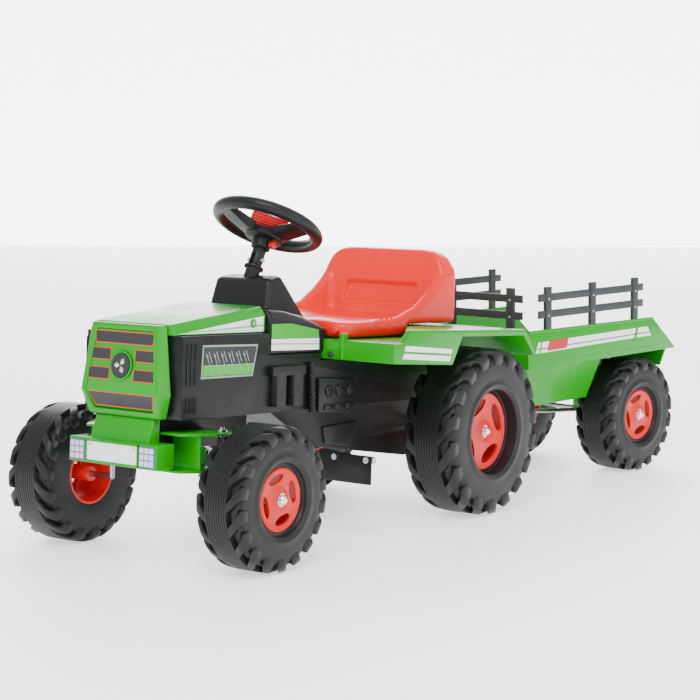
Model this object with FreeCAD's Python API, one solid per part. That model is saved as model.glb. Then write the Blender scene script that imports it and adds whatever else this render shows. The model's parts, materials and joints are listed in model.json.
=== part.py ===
"""Child's ride-on farm tractor with a fenced trailer, built as separate pieces.

World frame: +X forward, +Y to the left, +Z up. The origin is on the ground midway between the
rear tyres. Everything on the tractor is drawn level and then leaned back by body_rake about
the rear axle. Everything on the trailer is drawn straight behind the hitch and then swung
about the hitch pin by trailer_yaw.
"""
import FreeCAD
import Part
import math
import os

Vec = FreeCAD.Vector

# ---------------------------------------------------------------- driving dimensions (mm)
wheelbase = 617.0
body_rake = 3.0
wall = 3.0
fit_gap = 0.3
run_gap = 0.05
join_gap = 0.1

front_radius = 117.0
front_width = 92.0
front_track = 412.0
front_recess = 11.0
front_lip_radius = 59.0
front_rim_radius = 52.0
front_slot_length = 22.0
front_slot_width = 13.0
front_slot_turn = 14.0
rear_radius = 152.0
rear_width = 105.0
rear_track = 402.0
rear_recess = 27.0
rear_lip_radius = 78.0
rear_rim_radius = 72.0
rear_slot_length = 34.0
rear_slot_width = 21.0
rear_slot_turn = 25.0
tyre_wall = 4.5
tread_shoulder = 15.0
rim_plate = 4.0
hub_radius = 13.0
front_axle_radius = 5.0
rear_axle_radius = 6.0
cap_radius = 8.5
cap_length = 6.0
washer_thickness = 1.6

body_half = 103.0
lower_body_half = 96.0
front_overhang = 80.0
body_rear = -75.0
body_ridge = 202.0
body_top = 335.0
body_deck = 285.0
body_floor_front = 136.0
body_floor_rear = 100.0
sump_half = 60.0
sump_floor = 150.0

hood_rear = 476.0
hood_lap = 6.0
hood_half = 91.0
hood_front_top = 352.0
hood_rear_top = 379.0
hood_bevel = 13.0
hood_edge = 335.0

nose_gap = 8.0
nose_top_half = 70.6
nose_mid_half = 82.5
nose_low_half = 74.0
nose_top = 350.6
nose_mid = 241.8
nose_low = 202.0
nose_top_reach = 23.4
nose_mid_reach = 35.0
nose_low_reach = 21.0
nose_border = 10.0
nose_flare = 7.0
grille_inset = 3.0
badge_radius = 19.0
badge_height = 4.0
badge_rise = 42.0

bumper_reach = 45.0
bumper_set = 2.5
bumper_half = 93.6
bumper_low = 125.0
bumper_high = 165.0
chin_half = 62.0
lamp_width = 32.0
lamp_proud = 2.0
plate_height = 30.0
plate_thick = 1.5

dash_rear = 320.0
dash_shoulder = 374.0
dash_low = 299.0
hump_half = 57.0
hump_base_half = 70.0
hump_front = 446.0
hump_rear = 392.0
hump_top = 430.0

column_rake = 25.0
column_radius = 5.0
bush_length = 28.0
sleeve_length = 31.0
ring_x = 365.0
ring_z = 514.0
ring_radius = 87.5
ring_tube = 11.5
pad_length = 44.0
pad_width = 64.0
pad_thick = 26.0
pad_sink = 14.0
pad_angle = 45.0
crank_length = 34.6
finger_length = 52.0
finger_radius = 4.0
crank_z = 150.0
tie_z = 100.0
tie_thick = 4.0
knuckle_arm = 60.0
kingpin_radius = 5.0
kingpin_y = 118.0
steer_range = 60.0
steer_ratio = 0.5

carrier_low = 118.0
carrier_high = 181.0
carrier_thick = 4.0
carrier_length = 105.0
carrier_shoulder = 52.0
carrier_web = 35.0
carrier_half = 134.0
carrier_tip_half = 100.0

fender_half = 252.0
fender_front = 330.0
fender_step = 322.0
fender_top = 344.0
fender_low = 288.0
fender_rear = -131.0
arch_front = 121.0
arch_inner_y = 129.0
body_bolt_out = 18.0
rib_out = 34.0
rib_thick = 9.0
rib_top = 358.0

seat_front = 312.0
seat_half = 137.0
seat_back_half = 98.0
seat_pan = 352.0
seat_back_top = 478.0
seat_shoulder = 430.0
seat_wall = 4.0

foot_bar_x = 324.0
foot_bar_z = 122.0
foot_bar_radius = 6.0
foot_bar_half = 214.0
foot_plate_inner = 104.0
foot_plate_low = 80.0
foot_plate_thick = 3.0
pedal_tube_radius = 9.0

hitch_x = -218.0
hitch_z = 146.0
hitch_pin_radius = 6.0
hitch_plate = 5.0
trailer_yaw = -6.5
trailer_axle_x = -617.0
trailer_track = 296.0
tub_front = -233.0
tub_rear = -655.0
tub_tail = -737.0
tub_half = 190.0
tub_low_half = 150.0
tub_tail_half = 92.0
tub_rim_rise = 82.5
tub_floor_drop = 69.0
tub_wall = 3.0
tub_lip_rise = 12.0
tub_back_drop = 56.0
tub_skirt_drop = 24.0
tub_skirt_half = 172.0
tub_tilt = 0.7
post_spacing = 146.0
post_width = 18.0
post_thick = 7.0
post_height = 85.0
post_first_x = -303.0
rail_height = 15.0
rail_overhang = 29.0
rail_low = 24.5
rail_high = 57.0
front_fence_x = -268.0
drawbar_radius = 4.5

# ---------------------------------------------------------------- derived places
front_slots = (front_slot_length, front_slot_width, front_slot_turn)
rear_slots = (rear_slot_length, rear_slot_width, rear_slot_turn)
body_front = wheelbase + front_overhang
hood_front = body_front + hood_lap
nose_rear = body_front + nose_gap
nose_top_x = body_front + nose_top_reach
nose_mid_x = body_front + nose_mid_reach
nose_low_x = body_front + nose_low_reach
bumper_front = body_front + bumper_reach
bumper_rear = body_front + bumper_set
carrier_rear = body_front - carrier_length
carrier_web_x = body_front - carrier_web
rake_cos = math.cos(math.radians(body_rake))
rake_sin = math.sin(math.radians(body_rake))
front_drop = front_radius - rear_radius
rib_y = body_half + rib_out
trailer_wheel_top = 2 * front_radius
tub_rim = trailer_wheel_top + tub_rim_rise
tub_lip = trailer_wheel_top + tub_lip_rise
tub_floor = trailer_wheel_top - tub_floor_drop
tub_back_floor = trailer_wheel_top - tub_back_drop
tub_skirt_low = trailer_wheel_top - tub_skirt_drop
front_x = wheelbase * rake_cos + front_drop * rake_sin
front_z = rear_radius - wheelbase * rake_sin + front_drop * rake_cos
column_cos = math.cos(math.radians(column_rake))
column_sin = math.sin(math.radians(column_rake))
column_up = Vec(-column_sin, 0, column_cos)
crank_out = Vec(-column_cos, 0, -column_sin)


# ---------------------------------------------------------------- drawing helpers
def box(x0, x1, y0, y1, z0, z1):
    return Part.makeBox(x1 - x0, y1 - y0, z1 - z0, Vec(x0, y0, z0))


def rod(radius, start, end):
    span = end - start
    return Part.makeCylinder(radius, span.Length, start, span)


def rod_y(radius, x, z, y0, y1):
    return Part.makeCylinder(radius, y1 - y0, Vec(x, y0, z), Vec(0, 1, 0))


def face_of(points):
    return Part.Face(Part.makePolygon(points + [points[0]]))


def prism_xz(outline, y0, y1):
    """Side outline of (x, z) corners, drawn out from y0 to y1."""
    return face_of([Vec(x, y0, z) for x, z in outline]).extrude(Vec(0, y1 - y0, 0))


def prism_xy(outline, z0, z1):
    """Plan outline of (x, y) corners, drawn out from z0 to z1."""
    return face_of([Vec(x, y, z0) for x, y in outline]).extrude(Vec(0, 0, z1 - z0))


def prism_yz(outline, x0, x1):
    """End outline of (y, z) corners, drawn out from x0 to x1."""
    return face_of([Vec(x0, y, z) for y, z in outline]).extrude(Vec(x1 - x0, 0, 0))


def inset(outline, depth):
    """The (x, z) outline moved inwards by depth."""
    wire = Part.makePolygon([Vec(x, 0, z) for x, z in outline + [outline[0]]])
    inner = wire.makeOffset2D(-depth, 2)
    return [(v.X, v.Z) for v in inner.OrderedVertexes]


def turned_y(outline, x, z, mid_y, outward):
    """Closed (radius, y) outline turned about a line along Y; outward is +1 or -1."""
    points = [Vec(x + r, mid_y + outward * y, z) for r, y in outline]
    return face_of(points).revolve(Vec(x, mid_y, z), Vec(0, 1, 0), 360)


def lofted(sections):
    wires = [Part.makePolygon(points + [points[0]]) for points in sections]
    return Part.makeLoft(wires, True, True)


def solid_from_faces(faces):
    return Part.makeSolid(Part.makeShell([face_of(points) for points in faces]))


def fuse_all(shapes):
    return shapes[0].multiFuse(shapes[1:]).removeSplitter() if len(shapes) > 1 else shapes[0]


def mirror_y(shape):
    return shape.mirror(Vec(0, 0, 0), Vec(0, 1, 0))


def hopper(low, high):
    """Loft from one level rectangle to another; each is (x0, x1, half_y, z)."""
    rings = []
    for x0, x1, half, z in (low, high):
        corners = [Vec(x0, -half, z), Vec(x1, -half, z), Vec(x1, half, z), Vec(x0, half, z)]
        rings.append(corners)
    return lofted(rings)


def lean(shape):
    """Lean a level tractor piece back about the rear axle."""
    shape.rotate(Vec(0, 0, rear_radius), Vec(0, 1, 0), -body_rake)
    return shape


def swing(shape):
    """Swing a straight trailer piece about the hitch pin."""
    shape.rotate(Vec(hitch_x, 0, 0), Vec(0, 0, 1), trailer_yaw)
    return shape


def save(name, shapes):
    solids = []
    for shape in shapes:
        solids += shape.Solids
    for solid in solids:
        if not solid.isValid():
            print("invalid solid in", name)
    shape = solids[0] if len(solids) == 1 else Part.makeCompound(solids)
    shape.exportStep("parts/" + name + ".step")


# ---------------------------------------------------------------- wheels
def tyre(radius, width, recess, lip, bead, x, z, mid_y, outward):
    """Moulded tyre, open towards its rim, with a deep dish on the outer side."""
    half = width / 2
    t = tyre_wall
    s = tread_shoulder
    outer = [
        (bead, -half + t), (bead + s, -half), (radius - s, -half + t), (radius, -half + s),
        (radius, half - s), (radius - s, half - t), (lip + s, half), (lip, half - t),
        (lip, half - recess), (bead, half - recess),
    ]
    inner = [
        (bead, half - recess - t), (lip + t, half - recess - t), (lip + t, half - 2 * t),
        (lip + s, half - t), (radius - s - t, half - 2 * t), (radius - t, half - s - t / 2),
        (radius - t, -half + s + t / 2), (radius - s - t, -half + 2 * t),
        (bead + s, -half + t), (bead, -half + 2 * t),
    ]
    return turned_y(outer + inner, x, z, mid_y, outward)


def rim(width, recess, bead, slots, axle_radius, x, z, mid_y, outward):
    """Rim with a barrel behind a slotted disc and a long hub tube on the axle."""
    half = width / 2
    face = half - recess
    inner_end = -half + tyre_wall
    bore = axle_radius + run_gap
    barrel = bead - fit_gap
    outline = [
        (bore, inner_end), (hub_radius, inner_end), (hub_radius, face - rim_plate - 6),
        (barrel - rim_plate - 2, face - rim_plate), (barrel - rim_plate, inner_end + rim_plate),
        (barrel - rim_plate, inner_end), (barrel, inner_end), (barrel, face),
        (barrel - 4, face + 2), (hub_radius + 10, face - 2), (hub_radius, face + 2), (bore, face + 2),
    ]
    shape = turned_y(outline, x, z, mid_y, outward)
    slot_length, slot_width, slot_turn = slots
    slot_mid = (hub_radius + barrel) / 2 + 2
    y_face = mid_y + outward * (face - rim_plate - 12)
    for step in range(4):
        angle = math.radians(90 * step - slot_turn)
        across = slot_length / 2
        slot = box(-slot_width / 2, slot_width / 2, -24, 24, -across, across)
        for end in (-1, 1):
            slot = slot.fuse(rod_y(slot_width / 2, 0, end * across, -24, 24))
        slot.rotate(Vec(0, 0, 0), Vec(0, 1, 0), -math.degrees(angle))
        slot.translate(Vec(x + slot_mid * math.cos(angle), y_face, z + slot_mid * math.sin(angle)))
        shape = shape.cut(slot)
    return shape


def cap_nut(x, z, mid_y, width, recess, outward):
    """Domed nut on the axle end, just outside the rim's hub."""
    start = width / 2 - recess + 2 + washer_thickness + fit_gap
    outline = [
        (0, start), (cap_radius, start), (cap_radius, start + cap_length * 0.6),
        (cap_radius * 0.8, start + cap_length), (cap_radius * 0.4, start + cap_length * 1.35),
        (0, start + cap_length * 1.45),
    ]
    return turned_y(outline, x, z, mid_y, outward)


def washer(x, z, mid_y, width, recess, outward, radius):
    start = width / 2 - recess + 2 + fit_gap
    outline = [
        (radius, start), (cap_radius + 2, start), (cap_radius + 2, start + washer_thickness),
        (radius, start + washer_thickness),
    ]
    return turned_y(outline, x, z, mid_y, outward)


def axle_end(width, recess):
    """How far past the wheel's middle the axle reaches, under its cap nut."""
    return width / 2 - recess + 2 + washer_thickness + fit_gap


def front_wheels():
    sides = (("left", 1), ("right", -1))
    for side, sign in sides:
        mid = sign * front_track / 2
        place = (front_x, front_z, mid, sign)
        body = tyre(front_radius, front_width, front_recess, front_lip_radius, front_rim_radius, *place)
        disc = rim(front_width, front_recess, front_rim_radius, front_slots, front_axle_radius, *place)
        save("front_" + side + "_tyre", [lean(body)])
        save("front_" + side + "_rim", [lean(disc)])


def rear_wheels():
    for side, sign in (("left", 1), ("right", -1)):
        mid = sign * rear_track / 2
        place = (0, rear_radius, mid, sign)
        body = tyre(rear_radius, rear_width, rear_recess, rear_lip_radius, rear_rim_radius, *place)
        disc = rim(rear_width, rear_recess, rear_rim_radius, rear_slots, rear_axle_radius, *place)
        save("rear_" + side + "_tyre", [body])
        save("rear_" + side + "_rim", [disc])


def trailer_wheels():
    for side, sign in (("left", 1), ("right", -1)):
        mid = sign * trailer_track / 2
        place = (trailer_axle_x, front_radius, mid, sign)
        body = tyre(front_radius, front_width, front_recess, front_lip_radius, front_rim_radius, *place)
        disc = rim(front_width, front_recess, front_rim_radius, front_slots, front_axle_radius, *place)
        save("trailer_" + side + "_tyre", [swing(body)])
        save("trailer_" + side + "_rim", [swing(disc)])


# ---------------------------------------------------------------- tractor body
def upper_outline():
    return [
        (body_front, body_top), (body_front, body_ridge), (body_rear, body_ridge),
        (body_rear, body_deck), (fender_front + 6, body_deck), (fender_front + 6, dash_low - fit_gap),
        (hood_rear, dash_low - fit_gap), (hood_rear, body_top),
    ]


def lower_outline():
    return [
        (470, body_ridge + wall), (346, body_floor_front), (68, body_floor_rear + 1),
        (body_rear, body_floor_rear), (body_rear, body_ridge + wall),
    ]


def column_point(z):
    """Point on the steering axis at a level height."""
    return Vec(ring_x + (ring_z - z) * column_sin / column_cos, 0, z)


def engine_body():
    outer = prism_xz(upper_outline(), -body_half, body_half)
    outer = outer.fuse(prism_xz(lower_outline(), -lower_body_half, lower_body_half))
    sump = box(480, body_front - wall, -sump_half, sump_half, sump_floor, body_ridge + wall)
    outer = outer.fuse(sump)
    hollow = prism_xz(inset(upper_outline(), wall), wall - body_half, body_half - wall)
    low = [
        (465, body_ridge + 2 * wall), (344, body_floor_front + wall), (68, body_floor_rear + 1 + wall),
        (body_rear + wall, body_floor_rear + wall), (body_rear + wall, body_ridge + 2 * wall),
    ]
    hollow = hollow.fuse(prism_xz(low, wall - lower_body_half, lower_body_half - wall))
    channel = box(480 + wall, 590, wall - sump_half, sump_half - wall, sump_floor - 1, body_ridge + 2 * wall)
    open_top = box(hood_rear + wall, body_front - wall, -80, 80, body_top - wall - 1, body_top + 1)
    open_dash = box(fender_front + 20, hood_rear - wall, -60, 60, dash_low - 10, dash_low + 1)
    shape = outer.cut(hollow).cut(channel).cut(open_top).cut(open_dash)
    shape = shape.cut(rod_y(rear_axle_radius + fit_gap, 0, rear_radius, -200, 200))
    shape = shape.cut(rod_y(foot_bar_radius + fit_gap, foot_bar_x, foot_bar_z, -200, 200))
    shape = lean(shape)
    slot = box(-100, -60, -22 - fit_gap, 22 + fit_gap, hitch_z - 1, hitch_z + hitch_plate + 1)
    shape = shape.cut(slot)
    for side, y0, y1 in (("left", join_gap, 300), ("right", -300, -join_gap)):
        half = box(-300, 900, y0, y1, 0, 700)
        save("engine_body_" + side, [shape.common(half)])


def hood():
    def ring(x, top, skin):
        half = hood_half - skin
        low = hood_edge if skin == 0 else hood_edge - 5
        bevel = hood_bevel
        return [
            Vec(x, -half, low), Vec(x, -half, top - bevel - skin / 2), Vec(x, -half + bevel, top - skin),
            Vec(x, half - bevel, top - skin), Vec(x, half, top - bevel - skin / 2), Vec(x, half, low),
        ]

    outer = lofted([ring(hood_rear, hood_rear_top, 0), ring(hood_front, hood_front_top, 0)])
    inner = lofted([ring(hood_rear - 1, hood_rear_top, wall), ring(hood_front - 4, hood_front_top, wall)])
    dash_room = box(hood_rear - 1, hood_rear, -hood_half, hood_half, hood_edge, hood_rear_top)
    save("hood", [lean(outer.cut(inner).cut(dash_room))])


def nose_corners(border, push):
    """Front and back corners of the nose, top to bottom, for the left side."""
    front = [
        Vec(nose_top_x + push, nose_top_half - border, nose_top - border),
        Vec(nose_mid_x + push, nose_mid_half - border, nose_mid),
        Vec(nose_low_x + push, nose_low_half - border, nose_low + border),
    ]
    return front


def nose_block(border, push, rear_x, flare):
    left = nose_corners(border, push)
    right = [Vec(p.x, -p.y, p.z) for p in left]
    back_left = [Vec(rear_x, p.y + flare, p.z) for p in left]
    back_right = [Vec(rear_x, -p.y, p.z) for p in back_left]
    faces = [
        [left[0], right[0], right[1], left[1]], [left[1], right[1], right[2], left[2]],
        [left[0], back_left[0], back_right[0], right[0]],
        [left[2], right[2], back_right[2], back_left[2]],
        [back_left[0], back_left[1], back_right[1], back_right[0]],
        [back_left[1], back_left[2], back_right[2], back_right[1]],
    ]
    for a, b in ((left, back_left), (right, back_right)):
        for i in (0, 1):
            faces.append([a[i], a[i + 1], b[i + 1]])
            faces.append([a[i], b[i + 1], b[i]])
    return solid_from_faces(faces)


def nose():
    outer = nose_block(0, 0, nose_rear, nose_flare)
    room = nose_block(nose_border, 30, nose_rear - 30, 0)
    save("nose_shell", [lean(outer.cut(room))])
    panel = nose_block(nose_border + fit_gap, -grille_inset, nose_rear, 0)
    save("grille_panel", [lean(panel)])
    slope = math.atan2(nose_mid_x - nose_top_x, nose_top - nose_mid)
    facing = Vec(math.cos(slope), 0, math.sin(slope))
    centre = Vec(nose_mid_x - badge_rise * math.tan(slope) - grille_inset, 0, nose_mid + badge_rise)
    badge = Part.makeCylinder(badge_radius, badge_height, centre + facing * join_gap, facing)
    save("grille_badge", [lean(badge)])


def bumper():
    top = nose_low - fit_gap
    beam = box(bumper_rear, bumper_front, -bumper_half, bumper_half, bumper_low, bumper_high)
    room = box(bumper_rear - 1, bumper_front - wall, wall - bumper_half, bumper_half - wall,
               bumper_low + wall, bumper_high - wall)
    beam = beam.cut(room)
    chin_outline = [(bumper_rear, bumper_high), (bumper_front - 14, bumper_high),
                    (nose_low_x - 4, top), (bumper_rear, top)]
    chin = prism_xz(chin_outline, -chin_half, chin_half)
    save("bumper", [lean(fuse_all([beam, chin]))])
    lamps = []
    for sign in (1, -1):
        outer_y = sign * (bumper_half - 3)
        inner_y = sign * (bumper_half - 3 - lamp_width)
        y0 = min(outer_y, inner_y)
        lamps.append(box(bumper_front + join_gap, bumper_front + lamp_proud, y0, y0 + lamp_width,
                         bumper_low + 4, bumper_high - 4))
    save("headlights", [lean(lamp) for lamp in lamps])
    mid = (bumper_low + bumper_high) / 2
    half = bumper_half - lamp_width - 8
    plate = box(bumper_front + join_gap, bumper_front + plate_thick, -half, half,
                mid - plate_height / 2, mid + plate_height / 2)
    save("number_plate", [lean(plate)])


def dash_console():
    front = hood_rear - fit_gap
    side = [
        (front, dash_low), (front, dash_shoulder), (430, dash_shoulder - 3), (380, dash_shoulder - 12),
        (336, dash_shoulder - 28), (dash_rear, dash_shoulder - 36), (dash_rear, dash_low),
    ]
    block = prism_xz(side, -body_half, body_half)
    bevel_y = body_half - 12
    for sign in (1, -1):
        edge = [(sign * body_half, dash_shoulder - 20), (sign * (body_half + 5), dash_shoulder - 20),
                (sign * (body_half + 5), dash_shoulder + 5), (sign * bevel_y, dash_shoulder + 5),
                (sign * bevel_y, dash_shoulder)]
        block = block.cut(prism_yz(edge, dash_rear - 5, front + 5))
    low = [
        Vec(hump_front, -hump_base_half, dash_shoulder - 30),
        Vec(hump_front, hump_base_half, dash_shoulder - 30),
        Vec(dash_rear, hump_base_half + 14, dash_shoulder - 60),
        Vec(dash_rear, -hump_base_half - 14, dash_shoulder - 60),
    ]
    high = [
        Vec(hump_front - 22, -hump_half, hump_top - 6),
        Vec(hump_front - 22, hump_half, hump_top - 6),
        Vec(hump_rear, hump_half, hump_top),
        Vec(hump_rear, -hump_half, hump_top),
    ]
    foot = [Vec(p.x, p.y, dash_low + 20) for p in low]
    hump = lofted([foot, [Vec(p.x, p.y, dash_shoulder - 45) for p in low], high])
    shape = block.fuse(hump)
    lower_room = box(dash_rear + wall, front - wall, wall - body_half, body_half - wall,
                     dash_low - 1, dash_shoulder - 50)
    inner_high = [Vec(p.x, p.y * 0.86, dash_shoulder - 51) for p in low]
    inner_half = hump_half - 6
    inner_top = [
        Vec(hump_front - 26, -inner_half, hump_top - 14),
        Vec(hump_front - 26, inner_half, hump_top - 14),
        Vec(hump_rear + 4, inner_half, hump_top - 14),
        Vec(hump_rear + 4, -inner_half, hump_top - 14),
    ]
    inner_foot = [Vec(p.x + (wall * 3 if p.x < hump_rear else -wall * 2), p.y, p.z) for p in inner_high]
    inner_room = lofted([inner_foot, inner_top])
    shape = shape.cut(lower_room).cut(inner_room)
    opening = rod(column_radius + 8, column_point(dash_low - 20), column_point(hump_top + 20))
    shape = shape.cut(opening)
    save("dash_console", [lean(shape)])
    base = column_point(hump_top - 14)
    bush = rod(column_radius + 8 - fit_gap, base, base + column_up * bush_length)
    brim = rod(column_radius + 12, base + column_up * (bush_length - 4), base + column_up * bush_length)
    bush = bush.fuse(brim)
    bush = bush.cut(rod(column_radius + run_gap, base - column_up * 5, base + column_up * 40))
    save("column_bush", [lean(bush)])


def side_details():
    """Moulded filters, engine relief and ribbed hoses that stand on both body sides."""
    y = body_half + join_gap
    filters = []
    reliefs = []
    hoses = []
    for sign in (1, -1):
        def out(y0, y1):
            a, b = sign * y0, sign * y1
            return min(a, b), max(a, b)

        y0, y1 = out(y, y + 12)
        cap = box(392, 482, y0, y1, 264, 280)
        cups = []
        for x in (411, 458):
            cup = Part.makeCylinder(17, 52, Vec(x, 0, 212))
            side = box(x - 20, x + 20, *out(0, 12), 200, 280)
            cup = cup.common(side)
            cup.translate(Vec(0, sign * y, 0))
            cups.append(cup)
        filters.append(fuse_all([cap] + cups))
        y0, y1 = out(y, y + 6)
        plate = prism_xz([(346, 256), (346, 196), (260, 191), (233, 205), (240, 250)], y0, y1)
        reliefs.append(plate)
        hoses.append(rod(7, Vec(366, sign * (y + 7), 198), Vec(372, sign * (y + 7), 284)))
    save("oil_filters", [lean(s) for s in filters])
    save("engine_reliefs", [lean(s) for s in reliefs])
    save("coolant_hoses", [lean(s) for s in hoses])


def fender_unit():
    skirt = [
        (fender_front, fender_low), (fender_front, fender_step), (303, fender_step),
        (281, fender_top), (-92, fender_top - 7), (fender_rear, 290), (fender_rear + 6, 287),
        (-86, fender_top - 18), (arch_front, fender_top - 15), (150, 280),
    ]
    shape = prism_xz(skirt, -fender_half, fender_half)
    room = [
        (fender_front - wall, 260), (fender_front - wall, fender_step - wall),
        (303 - wall / 2, fender_step - wall), (281 - wall / 2, fender_top - wall),
        (-92 + wall / 2, fender_top - 7 - wall), (fender_rear + wall, 286), (fender_rear + wall, 260),
    ]
    shape = shape.cut(prism_xz(room, wall - fender_half, fender_half - wall))
    for wall_y in (arch_inner_y, -arch_inner_y - wall):
        panel = [(-86, fender_top - 11), (-100, 300), (-60, 292), (150, 292), (160, fender_top - 2)]
        shape = shape.fuse(prism_xz(panel, wall_y, wall_y + wall))
    for sign in (1, -1):
        y0 = min(sign * rib_y, sign * (rib_y + rib_thick))
        rib = box(fender_front - 14, fender_front + 2, y0, y0 + rib_thick, fender_low, rib_top)
        shape = shape.fuse(rib)
    half = body_half + 1
    shape = shape.cut(box(dash_rear - 6, fender_front + 5, -half, half, 270, 400))
    save("fender_unit", [lean(shape.removeSplitter())])


def ring_at(rear, front, half, z):
    return [Vec(front, -half, z), Vec(front, half, z), Vec(rear, half, z), Vec(rear, -half, z)]


def seat():
    low = fender_top + fit_gap
    front = seat_front
    half = seat_half
    pan = [(front, fender_top + fit_gap), (front, seat_pan), (240, seat_pan - 5), (90, seat_pan + 4),
           (20, seat_pan + 10), (-30, seat_pan + 10), (-36, low)]
    pan_block = prism_xz(pan, -half, half)
    arm = [
        (192, seat_pan), (90, seat_pan + 20), (30, seat_pan + 60), (6, seat_pan + 80),
        (-30, seat_pan + 78), (-36, low), (192, low),
    ]
    arms = prism_xz(arm, half - 30, half)
    back = lofted([
        ring_at(-36, 28, half, low + 10),
        ring_at(-34, 16, half, seat_shoulder),
        ring_at(-24, 8, seat_back_half, seat_back_top),
    ])
    outer = fuse_all([pan_block, arms, mirror_y(arms), back])
    t = seat_wall
    under = prism_xz([(front - t, low - 1), (front - t, seat_pan - t), (240, seat_pan - 5 - t),
                      (90, seat_pan - t), (26, seat_pan - t), (-32, seat_pan - t), (-32, low - 1)],
                     t - half, half - t)
    hollow = half - t
    hollow_top = seat_back_half - t
    behind = lofted([
        ring_at(-32, 24, hollow, low - 2),
        ring_at(-30, 12, hollow, seat_shoulder),
        ring_at(-20, 4, hollow_top, seat_back_top - t),
    ])
    shape = outer.cut(under).cut(behind)
    save("seat", [lean(shape)])


def drive_unit():
    """Battery, motor and gearbox inside the lower body."""
    battery = box(120, 240, -48, 48, body_floor_front + 4, body_floor_front + 104)
    save("battery", [lean(battery)])
    gearbox = box(-34, 44, -30, 30, rear_radius - 34, rear_radius + 34)
    gearbox = gearbox.cut(rod_y(rear_axle_radius + run_gap, 0, rear_radius, -50, 50))
    save("drive_gearbox", [lean(gearbox)])
    motor = Part.makeCylinder(19, 58, Vec(44 + join_gap, 0, rear_radius), Vec(1, 0, 0))
    save("drive_motor", [lean(motor)])


def rear_axle():
    reach = rear_track / 2 + axle_end(rear_width, rear_recess) + 3
    bar = rod_y(rear_axle_radius, 0, rear_radius, -reach, reach)
    caps = []
    washers = []
    for sign in (1, -1):
        mid = sign * rear_track / 2
        cap = cap_nut(0, rear_radius, mid, rear_width, rear_recess, sign)
        caps.append(cap.cut(bar))
        ring = washer(0, rear_radius, mid, rear_width, rear_recess, sign, rear_axle_radius + run_gap)
        washers.append(ring)
    save("rear_axle", [bar])
    save("rear_axle_caps", caps + washers)


def foot_rests():
    bar = rod_y(foot_bar_radius, foot_bar_x, foot_bar_z, -foot_bar_half, foot_bar_half)
    save("foot_bar", [lean(bar)])
    face = foot_bar_x + foot_bar_radius + join_gap
    outline = [(foot_plate_inner, foot_plate_low), (foot_bar_half, foot_plate_low),
               (foot_bar_half, foot_bar_z + 5), (foot_plate_inner, foot_bar_z + 11)]
    plate = prism_yz(outline, face, face + foot_plate_thick)
    save("foot_plate_left", [lean(plate)])
    heads = []
    for y in (foot_plate_inner + 34, foot_bar_half - 9):
        start = Vec(face + foot_plate_thick + join_gap, y, foot_bar_z)
        heads.append(Part.makeCylinder(5.5, 4, start, Vec(1, 0, 0)))
    for sign in (1, -1):
        start = Vec(fender_front + join_gap, sign * (body_half + body_bolt_out), fender_low + 8)
        heads.append(Part.makeCylinder(5.5, 4, start, Vec(1, 0, 0)))
    save("body_bolts", [lean(b) for b in heads])
    mirrored = [(-y, z) for y, z in outline]
    pad_rear = foot_bar_x + pedal_tube_radius - 1
    pad = prism_yz(mirrored, pad_rear, pad_rear + foot_plate_thick)
    pieces = [pad]
    for y in (-foot_plate_inner - 16, -foot_bar_half + 2):
        tube = rod_y(pedal_tube_radius, foot_bar_x, foot_bar_z, y, y + 14)
        pieces.append(tube)
    pedal = fuse_all(pieces).cut(rod_y(foot_bar_radius + run_gap, foot_bar_x, foot_bar_z, -300, 0))
    save("accelerator_pedal", [lean(pedal)])


def front_carrier():
    half = carrier_half
    widest = body_front - carrier_shoulder
    plan = [
        (carrier_rear, 4 - half), (carrier_rear, half - 4), (widest, half), (body_front, carrier_tip_half),
        (body_front, -carrier_tip_half), (widest, -half),
    ]
    t = carrier_thick
    low = prism_xy(plan, carrier_low, carrier_low + t)
    high = prism_xy(plan, carrier_high - t, carrier_high)
    web = box(carrier_web_x, carrier_web_x + t, -kingpin_y, kingpin_y, carrier_low, carrier_high)
    room_half = sump_half + fit_gap
    sump_room = box(470, body_front, -room_half, room_half, sump_floor - fit_gap, carrier_high + 1)
    half = sump_half + 8
    saddle = box(carrier_rear, carrier_web_x, -half, half, carrier_low, sump_floor - fit_gap)
    cradle = box(carrier_rear - 1, carrier_web_x, -sump_half, sump_half, carrier_low + t, sump_floor - t)
    saddle = saddle.cut(cradle)
    shape = fuse_all([low, high, web, saddle]).cut(sump_room)
    for sign in (1, -1):
        foot = Vec(front_x, sign * kingpin_y, 0)
        shape = shape.cut(rod(kingpin_radius + run_gap, foot, foot + Vec(0, 0, 300)))
    save("front_axle_carrier", [lean(shape)])


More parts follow.
